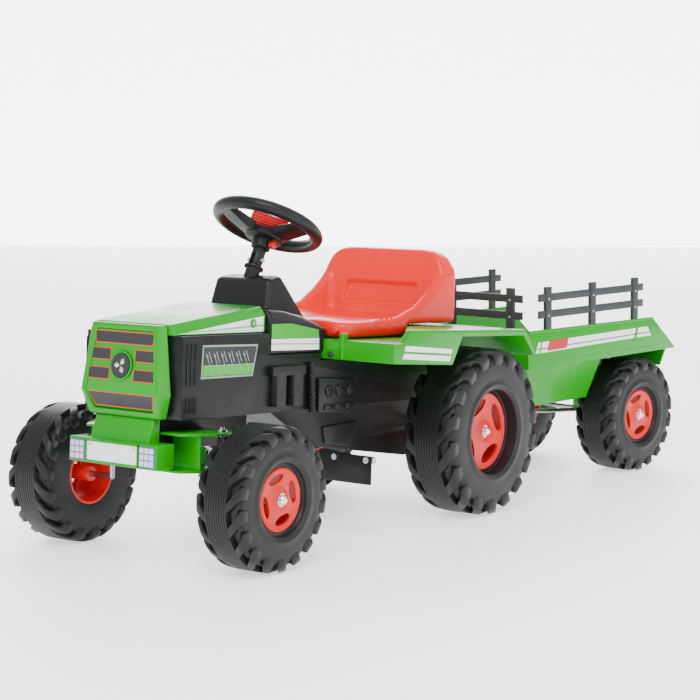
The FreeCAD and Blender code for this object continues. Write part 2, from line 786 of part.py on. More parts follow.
def knuckles():
    for side, sign in (("left", 1), ("right", -1)):
        y = sign * kingpin_y
        mid = sign * front_track / 2
        pin = rod(kingpin_radius, Vec(front_x, y, front_z), Vec(front_x, y, carrier_high + 8))
        collar_top = carrier_low - fit_gap
        collar = rod(kingpin_radius + 4, Vec(front_x, y, carrier_low - 8), Vec(front_x, y, collar_top))
        elbow = Part.makeSphere(front_axle_radius, Vec(front_x, y, front_z))
        reach = mid + sign * (axle_end(front_width, front_recess) + 3)
        stub = rod(front_axle_radius, Vec(front_x, y, front_z), Vec(front_x, reach, front_z))
        arm = box(front_x - knuckle_arm - 6, front_x, y - 5, y + 5, tie_z + tie_thick + 2, carrier_low - 6)
        pin_x = front_x - knuckle_arm
        peg = rod(finger_radius, Vec(pin_x, y, tie_z - 4), Vec(pin_x, y, carrier_low - 8))
        shape = fuse_all([pin, collar, elbow, stub, arm, peg])
        save("knuckle_" + side, [lean(shape)])
        nut = cap_nut(front_x, front_z, mid, front_width, front_recess, sign).cut(stub)
        ring = washer(front_x, front_z, mid, front_width, front_recess, sign, front_axle_radius + run_gap)
        clip_low = carrier_high + fit_gap
        clip = rod(kingpin_radius + 4, Vec(front_x, y, clip_low), Vec(front_x, y, carrier_high + 4))
        save("knuckle_" + side + "_fasteners", [lean(nut), lean(ring), lean(clip.cut(pin))])


def slot_hole(x0, x1, y, half, z0, z1):
    shape = box(x0, x1, y - half, y + half, z0, z1)
    for x in (x0, x1):
        shape = shape.fuse(Part.makeCylinder(half, z1 - z0, Vec(x, y, z0)))
    return shape


def tie_rod():
    pin_x = front_x - knuckle_arm
    far_x = front_x - knuckle_arm * math.cos(math.radians(steer_range * steer_ratio))
    z0 = tie_z
    z1 = tie_z + tie_thick
    bar = box(pin_x - 8, pin_x + 12, -kingpin_y, kingpin_y, z0, z1)
    centre = crank_foot(0)
    plate = box(centre.x - 14, pin_x + 12, -18, 18, z0, z1)
    pieces = [bar, plate]
    for sign in (1, -1):
        pieces.append(box(pin_x - 12, far_x + 12, sign * kingpin_y - 12, sign * kingpin_y + 12, z0, z1))
    shape = fuse_all(pieces)
    for sign in (1, -1):
        shape = shape.cut(slot_hole(pin_x, far_x, sign * kingpin_y, finger_radius + 1.2, z0 - 1, z1 + 1))
    finger_half = finger_radius + 3.4
    shape = shape.cut(slot_hole(centre.x, crank_foot(steer_range).x, 0, finger_half, z0 - 1, z1 + 1))
    save("tie_rod", [lean(shape)])


def crank_foot(turn):
    """Where the crank's finger crosses the tie rod when the wheel is turned."""
    c = math.cos(math.radians(turn))
    end = column_point(crank_z) + crank_out * (crank_length * c)
    drop = (end.z - tie_z - tie_thick / 2) / column_cos
    return end - column_up * drop


def steering():
    low = column_point(crank_z)
    top = Vec(ring_x, 0, ring_z) - column_up * 20
    column = rod(column_radius, low, top)
    ball = Part.makeSphere(column_radius, low)
    end = low + crank_out * crank_length
    crank = rod(column_radius, low, end)
    knob = Part.makeSphere(column_radius, end)
    finger = rod(finger_radius, end, end - column_up * finger_length)
    save("steering_column", [lean(fuse_all([column, ball, crank, knob, finger]))])

    centre = Vec(ring_x, 0, ring_z)
    torus = Part.makeTorus(ring_radius, ring_tube)
    turn = FreeCAD.Rotation(Vec(0, 0, 1), column_up)
    torus.Placement = FreeCAD.Placement(centre, turn)
    hub_low = centre - column_up * 46
    hub = rod(17, hub_low, centre - column_up * 12)
    pieces = [torus, hub]
    for angle in (90, 210, 330):
        a = math.radians(angle)
        reach = Vec(math.cos(a), math.sin(a), 0)
        tip = centre + turn.multVec(reach * ring_radius)
        root = centre - column_up * 24 + turn.multVec(reach * 8)
        spoke = rod(8, root, tip)
        pieces.append(spoke)
    plate = Part.makeCylinder(34, 13, Vec(0, 0, -pad_sink - 13))
    plate.Placement = FreeCAD.Placement(centre, turn)
    pieces.append(plate)
    bore = rod(column_radius, low, top)
    wheel = fuse_all(pieces).cut(bore)

    corner = Vec(-pad_length / 2, -pad_width / 2, join_gap - pad_sink)
    pad = Part.makeBox(pad_length, pad_width, pad_thick, corner)
    pad = pad.makeFillet(4, [e for e in pad.Edges if abs(e.tangentAt(0).z) > 0.9])
    pad_turn = turn.multiply(FreeCAD.Rotation(Vec(0, 0, 1), pad_angle))
    pad.Placement = FreeCAD.Placement(centre, pad_turn)
    pad = pad.cut(wheel)
    save("steering_wheel", [lean(wheel)])
    save("steering_pad", [lean(pad)])

    sleeve_top = hub_low - column_up * join_gap
    sleeve = rod(12, sleeve_top - column_up * sleeve_length, sleeve_top)
    sleeve = sleeve.cut(rod(column_radius + run_gap, low, top))
    fork = box(-14, 14, -3.5, 3.5, -36, -14)
    fork.Placement = FreeCAD.Placement(sleeve_top, turn)
    sleeve = sleeve.cut(fork)
    bolt_mid = sleeve_top - column_up * 22
    bolt = rod_y(2.5, bolt_mid.x, bolt_mid.z, -14, 14)
    sleeve = sleeve.cut(bolt)
    save("steering_sleeve", [lean(sleeve)])
    head = rod_y(4.5, bolt_mid.x, bolt_mid.z, 12 + join_gap, 16)
    heads = [head, mirror_y(head)]
    save("sleeve_bolt_heads", [lean(h) for h in heads])
    horn_base = hub_low + column_up * 8
    horn_dir = Vec(0, 1, 0)
    horn = Part.makeCylinder(7, 9, horn_base + horn_dir * (17 + 3.2), horn_dir)
    save("horn_button", [lean(horn)])


def direction_switch():
    rise = hump_top - (dash_shoulder - 45)
    run = hump_rear - dash_rear
    normal = Vec(-rise, 0, run)
    normal.normalize()
    spot = Vec(dash_rear + run * 0.62, 0, dash_shoulder - 45 + rise * 0.62) + normal * (fit_gap + 0.2)
    body = Part.makeCylinder(11, 8, spot, normal)
    dome = Part.makeCone(11, 7, 5, spot + normal * 8, normal)
    save("direction_knob", [lean(fuse_all([body, dome]))])


def hitch():
    top = hitch_z + hitch_plate
    bracket = box(hitch_x - 18, -62, -22, 22, hitch_z, top)
    bracket = bracket.cut(Part.makeCylinder(hitch_pin_radius, 40, Vec(hitch_x, 0, hitch_z - 10)))
    save("hitch_bracket", [bracket])
    pin = Part.makeCylinder(hitch_pin_radius, hitch_plate + 26, Vec(hitch_x, 0, hitch_z - 18))
    head = Part.makeCylinder(hitch_pin_radius + 5, 5, Vec(hitch_x, 0, top + join_gap))
    save("hitch_pin", [pin.fuse(head).removeSplitter()])


# ---------------------------------------------------------------- trailer
def tub():
    """Open-topped bed with a low tail lip; the wheels turn under its wide upper band."""
    t = tub_wall
    waist = trailer_axle_x + front_radius + 20
    low_front = tub_front - 66
    upper = prism_xz([(tub_front - 5, tub_lip), (tub_front, tub_rim), (tub_rear, tub_rim),
                      (tub_tail, tub_lip + t), (tub_tail, tub_lip)], -tub_half, tub_half)
    upper_room = prism_xz([(tub_front - 5 - t, tub_lip + t), (tub_front - t, tub_rim + 1),
                           (tub_tail - 60, tub_rim + 1), (tub_tail - 60, tub_lip + t)],
                          t - tub_half, tub_half - t)
    front = hopper((waist, low_front, tub_low_half, tub_floor),
                   (waist, tub_front - 5, tub_half - 4, tub_lip + 1))
    front_room = hopper((waist + t, low_front - t, tub_low_half - t, tub_floor + t),
                        (waist + t, tub_front - 5 - t, tub_half - 4 - t, tub_lip + t + 1))
    back = box(tub_tail + 24, waist + 1, -tub_tail_half, tub_tail_half, tub_back_floor, tub_lip + 1)
    back_room = box(tub_tail + 24 + t, waist + 2 * t, t - tub_tail_half, tub_tail_half - t,
                    tub_back_floor + t, tub_lip + t + 1)
    skirt = prism_xz([(tub_tail + 1, tub_lip + 1), (tub_tail + 24, tub_skirt_low),
                      (tub_tail + 28, tub_skirt_low), (tub_tail + 8, tub_lip + 1)],
                     -tub_skirt_half, tub_skirt_half)
    outer = fuse_all([upper, front, back, skirt])
    return outer.cut(upper_room.fuse([front_room, back_room]))


def tilted(shape):
    """The bed and its fences lean slightly forward about the trailer's axle."""
    shape.rotate(Vec(trailer_axle_x, 0, front_radius), Vec(0, 1, 0), tub_tilt)
    return shape


def trailer():
    axle_bar = rod_y(front_axle_radius, trailer_axle_x, front_radius,
                     -trailer_track / 2 - axle_end(front_width, front_recess) - 3,
                     trailer_track / 2 + axle_end(front_width, front_recess) + 3)
    caps = []
    for sign in (1, -1):
        mid = sign * trailer_track / 2
        cap = cap_nut(trailer_axle_x, front_radius, mid, front_width, front_recess, sign).cut(axle_bar)
        caps.append(cap)
        caps.append(washer(trailer_axle_x, front_radius, mid, front_width, front_recess, sign,
                           front_axle_radius + run_gap))
    save("trailer_axle", [swing(axle_bar)])
    save("trailer_axle_caps", [swing(c) for c in caps])
    save("trailer_tub", [swing(tilted(tub()))])
    fences()
    tub_mounts()
    drawbar()


def fences():
    span = 2 * post_spacing
    half_w = post_width / 2

    def fence(along, across, middle, base):
        pieces = []
        for step in (-1, 0, 1):
            foot = middle + along * (step * post_spacing) + Vec(0, 0, base)
            pieces.append(slab(foot, along, across, half_w, post_thick / 2, 0, post_height))
        reach = span / 2 + rail_overhang
        for low in (rail_low, rail_high):
            foot = middle + Vec(0, 0, base)
            pieces.append(slab(foot, along, across, reach, post_thick / 2 - 1.5, low, low + rail_height))
        return fuse_all(pieces)

    along_x = Vec(1, 0, 0)
    along_y = Vec(0, 1, 0)
    base = tub_rim + fit_gap
    mid_x = post_first_x - post_spacing
    y = tub_half - post_thick / 2 - 1
    for name, sign in (("left", 1), ("right", -1)):
        piece = fence(along_x, along_y, Vec(mid_x, sign * y, 0), base)
        save("fence_" + name, [swing(tilted(piece))])
    piece = fence(along_y, along_x, Vec(tub_front - post_thick / 2 - 1, 0, 0), base)
    save("fence_front", [swing(tilted(piece))])


def slab(foot, along, across, half_along, half_across, z0, z1):
    a = along * half_along
    c = across * half_across
    corners = [foot - a - c, foot + a - c, foot + a + c, foot - a + c]
    face = face_of([p + Vec(0, 0, z0) for p in corners])
    return face.extrude(Vec(0, 0, z1 - z0))


def tub_mounts():
    """Saddles that carry the bed on the drawbar's cross bar and on its two side rods."""
    saddles = []
    for sign in (1, -1):
        y = sign * 48
        low = front_radius + 2 + drawbar_radius + join_gap
        rear_x = trailer_axle_x + 14
        saddles.append(box(rear_x - 12, rear_x + 12, y - 12, y + 12, low, tub_back_floor - 2))
        front_end = tub_front - 96
        dip = (front_end - trailer_axle_x) * math.sin(math.radians(tub_tilt))
        saddles.append(box(front_end - 14, front_end, y - 30 * sign - 8, y - 30 * sign + 8,
                           hitch_z + 4, tub_floor - dip - fit_gap))
    save("tub_mounts", [swing(s) for s in saddles])


def drawbar():
    eye_top = hitch_z - fit_gap
    eye = Part.makeCylinder(hitch_pin_radius + 9, 9, Vec(hitch_x, 0, eye_top - 9))
    pieces = [eye]
    height = eye_top - 4.5
    for sign in (1, -1):
        start = Vec(hitch_x, sign * 6, height)
        end = Vec(trailer_axle_x + 14, sign * 70, front_radius + 2)
        pieces.append(rod(drawbar_radius, start, end))
    pieces.append(rod_y(drawbar_radius, trailer_axle_x + 14, front_radius + 2, -74, 74))
    frame = fuse_all(pieces)
    frame = frame.cut(Part.makeCylinder(hitch_pin_radius + run_gap, 60, Vec(hitch_x, 0, hitch_z - 40)))
    save("drawbar", [swing(frame)])


def main():
    os.makedirs("parts", exist_ok=True)
    front_wheels()
    rear_wheels()
    trailer_wheels()
    engine_body()
    hood()
    nose()
    bumper()
    dash_console()
    side_details()
    fender_unit()
    seat()
    drive_unit()
    rear_axle()
    foot_rests()
    front_carrier()
    knuckles()
    tie_rod()
    steering()
    direction_switch()
    hitch()
    trailer()


main()
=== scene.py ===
"""Ride-on toy farm tractor with a fenced trailer.

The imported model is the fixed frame. This script adds the finished shapes around it: lugged
tyres, slotted rims, the moulded seat, the decorated bodywork, the trailer's trim, and every
finish. Tractor pieces are drawn level and leaned back by the body's rake. Trailer pieces are
drawn straight behind the hitch and swung to the trailer's yaw.
"""
import json
import logging
import math
from collections.abc import Callable, Iterable, Sequence
from dataclasses import dataclass
from enum import Enum

import bmesh
import bpy
from mathutils import Matrix, Vector


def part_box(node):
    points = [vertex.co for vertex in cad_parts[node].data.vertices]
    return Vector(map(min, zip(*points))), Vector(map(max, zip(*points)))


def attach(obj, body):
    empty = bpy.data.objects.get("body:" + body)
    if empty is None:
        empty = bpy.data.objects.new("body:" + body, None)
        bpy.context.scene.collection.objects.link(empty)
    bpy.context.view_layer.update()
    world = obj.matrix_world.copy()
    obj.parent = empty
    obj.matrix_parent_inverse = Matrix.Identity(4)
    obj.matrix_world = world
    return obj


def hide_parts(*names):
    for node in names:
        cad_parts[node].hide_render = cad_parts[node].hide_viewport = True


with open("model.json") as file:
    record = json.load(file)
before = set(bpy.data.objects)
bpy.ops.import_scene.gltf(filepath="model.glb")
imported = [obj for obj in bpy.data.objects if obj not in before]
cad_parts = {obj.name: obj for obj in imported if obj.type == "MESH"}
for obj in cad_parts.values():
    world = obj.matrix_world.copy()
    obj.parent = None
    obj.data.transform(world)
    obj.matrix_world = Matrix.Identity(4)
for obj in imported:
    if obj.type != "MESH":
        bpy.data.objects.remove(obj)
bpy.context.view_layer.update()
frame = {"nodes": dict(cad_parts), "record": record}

LOG = logging.getLogger("tractor")
RECORD = frame["record"]
JOINTS = {joint["name"]: joint for joint in RECORD["behaviour"]["joints"]}
Pair = tuple[float, float]
Triple = tuple[float, float, float]


# ------------------------------------------------------------------ frames of reference
def joint_place(name: str) -> Vector:
    """Centre of a joint in the row frame, in metres."""
    return Vector(JOINTS[name]["pos_m"])


def joint_axis(name: str) -> Vector:
    """Axis of a joint in the row frame."""
    return Vector(JOINTS[name]["axis"])


def lean_matrix() -> Matrix:
    """Level tractor space to the row frame: a lean about the rear axle.

    Returns:
        The matrix, in metres.
    """
    up = joint_axis("left_kingpin")
    axle = Vector((0.0, 0.0, joint_place("rear_left_roll").z))
    turn = Matrix.Rotation(-math.atan2(-up.x, up.z), 4, "Y")
    return Matrix.Translation(axle) @ turn @ Matrix.Translation(-axle)


def tow_matrix() -> Matrix:
    """Straight trailer space to the row frame: a swing about the hitch.

    Returns:
        The matrix, in metres.
    """
    across = joint_axis("trailer_left_roll")
    hitch = joint_place("hitch_swing")
    hitch.z = 0.0
    turn = Matrix.Rotation(math.atan2(-across.x, across.y), 4, "Z")
    return Matrix.Translation(hitch) @ turn @ Matrix.Translation(-hitch)


LEAN = lean_matrix()
TOW = tow_matrix()


def local_box(node: str, space: Matrix) -> tuple[Vector, Vector]:
    """Lowest and highest corners of a CAD node measured inside a leaned or swung space.

    Args:
        node: Name of the CAD node.
        space: Matrix from that space to the row frame.

    Returns:
        The low corner and the high corner.
    """
    inverse = space.inverted()
    points = [inverse @ vertex.co for vertex in frame["nodes"][node].data.vertices]
    low = Vector(tuple(min(p[i] for p in points) for i in range(3)))
    high = Vector(tuple(max(p[i] for p in points) for i in range(3)))
    return low, high


# ------------------------------------------------------------------ finishes
SURFACE = [("Colour", "NodeSocketColor"), ("Roughness", "NodeSocketFloat"), ("Height", "NodeSocketFloat")]


def linear(colour: Triple) -> tuple[float, float, float, float]:
    """Screen colour, each channel 0 to 1, as the linear colour that shaders take.

    Args:
        colour: Red, green and blue.

    Returns:
        The linear colour with an alpha of 1.
    """
    def channel(value: float) -> float:
        """One channel."""
        return value / 12.92 if value <= 0.04045 else ((value + 0.055) / 1.055) ** 2.4

    return (channel(colour[0]), channel(colour[1]), channel(colour[2]), 1.0)


class Graph:
    """A node tree with short ways to add and join nodes."""

    def __init__(self, tree: bpy.types.NodeTree) -> None:
        """Wrap a node tree."""
        self.tree = tree

    def feed(self, target: bpy.types.NodeSocket, value: object) -> None:
        """Give an input a plain value, or another node's output.

        Args:
            target: The input.
            value: A number, a vector, a colour or an output.
        """
        if isinstance(value, bpy.types.NodeSocket):
            self.tree.links.new(value, target)
        else:
            target.default_value = value

    def add(self, kind: str, inputs: dict[str, object] | None = None, **settings: object) -> bpy.types.Node:
        """Add a node.

        Args:
            kind: The node's type name.
            inputs: What the named inputs are fed.
            **settings: Properties of the node.

        Returns:
            The node.
        """
        node = self.tree.nodes.new(kind)
        for key, value in settings.items():
            setattr(node, key, value)
        for key, value in (inputs or {}).items():
            self.feed(node.inputs[key], value)
        return node

    def place(self) -> bpy.types.NodeSocket:
        """Object coordinates."""
        return self.add("ShaderNodeTexCoord").outputs["Object"]

    def noise(self, vector: bpy.types.NodeSocket, scale: object, detail: float) -> bpy.types.NodeSocket:
        """Noise read at a vector."""
        read = {"Vector": vector, "Scale": scale, "Detail": detail}
        return self.add("ShaderNodeTexNoise", read).outputs["Fac"]

    def remap(self, value: bpy.types.NodeSocket, source: Pair, low: object,
              high: object) -> bpy.types.NodeSocket:
        """A value moved from a range to the one from low to high, held at the ends."""
        ends = {"From Min": source[0], "From Max": source[1], "To Min": low, "To Max": high}
        return self.add("ShaderNodeMapRange", {"Value": value, **ends}).outputs["Result"]

    def reckon(self, operation: str, *values: object) -> bpy.types.NodeSocket:
        """Arithmetic on outputs and plain numbers.

        Args:
            operation: The kind of sum.
            *values: What goes in, in order.

        Returns:
            The result's output.
        """
        node = self.add("ShaderNodeMath", operation=operation)
        for target, value in zip(node.inputs, values):
            self.feed(target, value)
        return node.outputs[0]

    def mix(self, share: bpy.types.NodeSocket, first: object, second: object) -> bpy.types.NodeSocket:
        """Two colours mixed by a share."""
        node = self.add("ShaderNodeMix", {"Factor": share, "A": first, "B": second}, data_type="RGBA")
        return node.outputs["Result"]


def open_group(name: str, inputs: Sequence[tuple[str, str, object]],
               outputs: Sequence[tuple[str, str]]) -> tuple[Graph, bpy.types.Node, bpy.types.Node]:
    """Start a shader node group.

    Args:
        name: The group's name.
        inputs: Name, socket type and default of each input.
        outputs: Name and socket type of each output.

    Returns:
        The graph, its input node and its output node.
    """
    tree = bpy.data.node_groups.new(name, "ShaderNodeTree")
    for title, kind, default in inputs:
        socket = tree.interface.new_socket(title, in_out="INPUT", socket_type=kind)
        socket.default_value = default
    for title, kind in outputs:
        tree.interface.new_socket(title, in_out="OUTPUT", socket_type=kind)
    graph = Graph(tree)
    return graph, graph.add("NodeGroupInput"), graph.add("NodeGroupOutput")


def moulded_group() -> bpy.types.NodeTree:
    """Plastic colour that drifts a little, with scuffs, uneven gloss and a fine grain.

    Returns:
        The group's tree.
    """
    graph, source, result = open_group(
        "Moulded plastic",
        [("Colour", "NodeSocketColor", (0.5, 0.5, 0.5, 1.0)),
         ("Scuff colour", "NodeSocketColor", (0.7, 0.7, 0.7, 1.0)),
         ("Grain scale", "NodeSocketFloat", 900.0), ("Drift", "NodeSocketFloat", 0.05),
         ("Scuffs", "NodeSocketFloat", 0.1), ("Gloss low", "NodeSocketFloat", 0.25),
         ("Gloss high", "NodeSocketFloat", 0.4)], SURFACE)
    given, place = source.outputs, graph.place()
    turned = {"Vector": place, "Scale": (1.0, 1.0, 7.0), "Rotation": (0.4, 0.7, 0.2)}
    scratch = graph.noise(graph.add("ShaderNodeMapping", turned).outputs["Vector"], 45.0, 6.0)
    scuffs = graph.reckon("MULTIPLY", graph.remap(scratch, (0.62, 0.74), 0.0, 1.0), given["Scuffs"])
    broad = graph.remap(graph.noise(place, 7.0, 3.0), (0.3, 0.7), -1.0, 1.0)
    value = graph.reckon("MULTIPLY_ADD", broad, given["Drift"], 1.0)
    shade = graph.add("ShaderNodeHueSaturation", {"Color": given["Colour"], "Value": value}).outputs["Color"]
    gloss = graph.remap(graph.noise(place, 22.0, 5.0), (0.3, 0.7), given["Gloss low"], given["Gloss high"])
    grain = graph.noise(place, given["Grain scale"], 2.0)
    graph.feed(result.inputs["Colour"], graph.mix(scuffs, shade, given["Scuff colour"]))
    graph.feed(result.inputs["Roughness"], graph.reckon("MULTIPLY_ADD", scuffs, 0.25, gloss))
    graph.feed(result.inputs["Height"], graph.reckon("SUBTRACT", grain, scuffs))
    return graph.tree


def metal_group() -> bpy.types.NodeTree:
    """Drawn metal: streaks along one direction and cloudy tarnish.

    Returns:
        The group's tree.
    """
    graph, source, result = open_group(
        "Drawn metal",
        [("Colour", "NodeSocketColor", (0.6, 0.6, 0.6, 1.0)),
         ("Tarnish colour", "NodeSocketColor", (0.3, 0.3, 0.3, 1.0)),
         ("Tarnish", "NodeSocketFloat", 0.3), ("Gloss low", "NodeSocketFloat", 0.2),
         ("Gloss high", "NodeSocketFloat", 0.4)], SURFACE)
    given, place = source.outputs, graph.place()
    drawn = graph.add("ShaderNodeMapping", {"Vector": place, "Scale": (1.0, 0.06, 1.0)}).outputs["Vector"]
    streak = graph.noise(drawn, 900.0, 3.0)
    cloud = graph.remap(graph.noise(place, 35.0, 5.0), (0.45, 0.75), 0.0, 1.0)
    tarnish = graph.reckon("MULTIPLY", cloud, given["Tarnish"])
    graph.feed(result.inputs["Colour"], graph.mix(tarnish, given["Colour"], given["Tarnish colour"]))
    gloss = graph.remap(streak, (0.0, 1.0), given["Gloss low"], given["Gloss high"])
    graph.feed(result.inputs["Roughness"], gloss)
    graph.feed(result.inputs["Height"], streak)
    return graph.tree


GROUPS = {"moulded": moulded_group(), "metal": metal_group()}


@dataclass(frozen=True)
class Finish:
    """A finish and the record slot it belongs to.

    Colours are screen colours. grain is the bump's scale and depth its strength in millimetres.
    """

    title: str
    slot: str
    colour: Triple
    gloss: Pair = (0.28, 0.42)
    second: Triple = (0.75, 0.75, 0.75)
    grain: float = 900.0
    depth: float = 0.04
    drift: float = 0.05
    wear: float = 0.08
    coat: float = 0.0
    metal: bool = False

    def build(self) -> bpy.types.Material:
        """Make the material, once.

        Returns:
            The material.
        """
        known = bpy.data.materials.get(self.title)
        if known:
            return known
        material = bpy.data.materials.new(self.title)
        material.use_nodes = True
        graph = Graph(material.node_tree)
        material.node_tree.nodes.clear()
        shader = graph.add("ShaderNodeBsdfPrincipled")
        output = graph.add("ShaderNodeOutputMaterial")
        graph.feed(output.inputs["Surface"], shader.outputs["BSDF"])
        given = {"Colour": linear(self.colour), "Gloss low": self.gloss[0], "Gloss high": self.gloss[1]}
        if self.metal:
            given |= {"Tarnish colour": linear(self.second), "Tarnish": self.wear}
        else:
            given |= {"Scuff colour": linear(self.second), "Scuffs": self.wear, "Drift": self.drift,
                      "Grain scale": self.grain}
        group = graph.add("ShaderNodeGroup", given, node_tree=GROUPS["metal" if self.metal else "moulded"])
        shader.inputs["Metallic"].default_value = 1.0 if self.metal else 0.0
        shader.inputs["Coat Weight"].default_value = self.coat
        shader.inputs["Coat Roughness"].default_value = 0.12
        shader.inputs["Specular IOR Level"].default_value = 0.26
        bump = graph.add("ShaderNodeBump", {"Height": group.outputs["Height"]})
        bump.inputs["Strength"].default_value = 0.35
        bump.inputs["Distance"].default_value = self.depth / 1000.0
        graph.feed(shader.inputs["Base Color"], group.outputs["Colour"])
        graph.feed(shader.inputs["Roughness"], group.outputs["Roughness"])
        graph.feed(shader.inputs["Normal"], bump.outputs["Normal"])
        return material


class Skin(Enum):
    """Every finish on the tractor and its trailer."""

    GREEN = Finish("Green shell", "green_shell", (0.0, 0.56, 0.01), (0.22, 0.34),
                   (0.20, 0.75, 0.26), grain=700, depth=0.03, drift=0.05, wear=0.05, coat=0.10)
    BLACK = Finish("Black shell", "black_shell", (0.085, 0.088, 0.092), (0.30, 0.44),
                   (0.36, 0.37, 0.38), grain=1400, depth=0.10, drift=0.10, wear=0.12)
    # Darker, rougher copy of the black shell for the vent slots: its darkness is painted shade standing for
    # the inside of each slot.
    PAINTED_SHADE_BLACK = Finish("Black painted shade", "black_shell", (0.06, 0.06, 0.065), (0.5, 0.65),
                  (0.16, 0.16, 0.17), grain=1400, depth=0.08, drift=0.10, wear=0.05)
    TYRE = Finish("Tyre rubber", "tyre_black", (0.105, 0.108, 0.112), (0.34, 0.50),
                  (0.40, 0.40, 0.40), grain=1100, depth=0.14, drift=0.12, wear=0.16)
    RIM = Finish("Red rim", "red_rim", (0.82, 0.07, 0.05), (0.26, 0.38),
                 (0.98, 0.55, 0.5), grain=800, depth=0.03, drift=0.05, wear=0.06, coat=0.2)
    SEAT = Finish("Seat red", "seat_red", (0.95, 0.07, 0.02), (0.27, 0.40),
                  (0.99, 0.52, 0.45), grain=1000, depth=0.05, drift=0.05, wear=0.06, coat=0.15)
    PAD = Finish("Pad red", "pad_red", (0.72, 0.01, 0.03), (0.24, 0.34),
                 (0.98, 0.4, 0.4), grain=800, depth=0.03, drift=0.04, wear=0.05, coat=0.2)
    FENCE = Finish("Fence grey", "fence_grey", (0.20, 0.215, 0.225), (0.42, 0.55),
                   (0.48, 0.50, 0.52), grain=1100, depth=0.10, drift=0.08, wear=0.10)
    STEEL = Finish("Plain steel", "steel", (0.70, 0.71, 0.73), (0.18, 0.40),
                   (0.36, 0.35, 0.35), depth=0.02, wear=0.35, metal=True)
    BRIGHT = Finish("Bright cap", "bright_cap", (0.90, 0.90, 0.91), (0.08, 0.18),
                    (0.62, 0.62, 0.63), depth=0.01, wear=0.25, metal=True)
    WHITE = Finish("White decal", "plate_white", (0.95, 0.96, 0.955), (0.22, 0.32),
                   (0.80, 0.83, 0.80), grain=900, depth=0.02, drift=0.02, wear=0.08, coat=0.1)
    LINE = Finish("Decal grey line", "plate_white", (0.55, 0.62, 0.55), (0.25, 0.35),
                  (0.7, 0.75, 0.7), grain=900, depth=0.02, drift=0.03, wear=0.05)
    LIME = Finish("Decal green", "plate_white", (0.22, 0.66, 0.20), (0.22, 0.32),
                  (0.75, 0.92, 0.72), grain=900, depth=0.02, drift=0.06, wear=0.06, coat=0.1)
    BAR = Finish("Grille bar", "black_shell", (0.19, 0.185, 0.20), (0.35, 0.48),
                 (0.45, 0.45, 0.46), grain=1000, depth=0.05, drift=0.08, wear=0.08)
    OUTLINE = Finish("Bar outline", "pad_red", (0.78, 0.30, 0.12), (0.28, 0.38),
                     (0.95, 0.65, 0.5), grain=900, depth=0.02, drift=0.04, wear=0.05)
    LAMP = Finish("Lamp facet", "lamp_silver", (0.80, 0.79, 0.90), (0.16, 0.26),
                  (0.60, 0.58, 0.80), grain=500, depth=0.04, drift=0.10, wear=0.10, coat=0.3)
    LAMP_EDGE = Finish("Lamp bars", "lamp_silver", (0.40, 0.38, 0.62), (0.24, 0.34),
                       (0.6, 0.6, 0.75), grain=700, depth=0.03, drift=0.08, wear=0.06)
    ORANGE = Finish("Orange knob", "orange_knob", (0.93, 0.56, 0.25), (0.26, 0.36),
                    (0.98, 0.75, 0.5), grain=800, depth=0.03, drift=0.05, wear=0.05, coat=0.15)
    INNER = Finish("Inner case", "battery_case", (0.22, 0.23, 0.26), (0.4, 0.5),
                   (0.4, 0.4, 0.42), grain=900, depth=0.06, drift=0.06, wear=0.08)

    def material(self) -> bpy.types.Material:
        """The finish as a material."""
        return self.value.build()


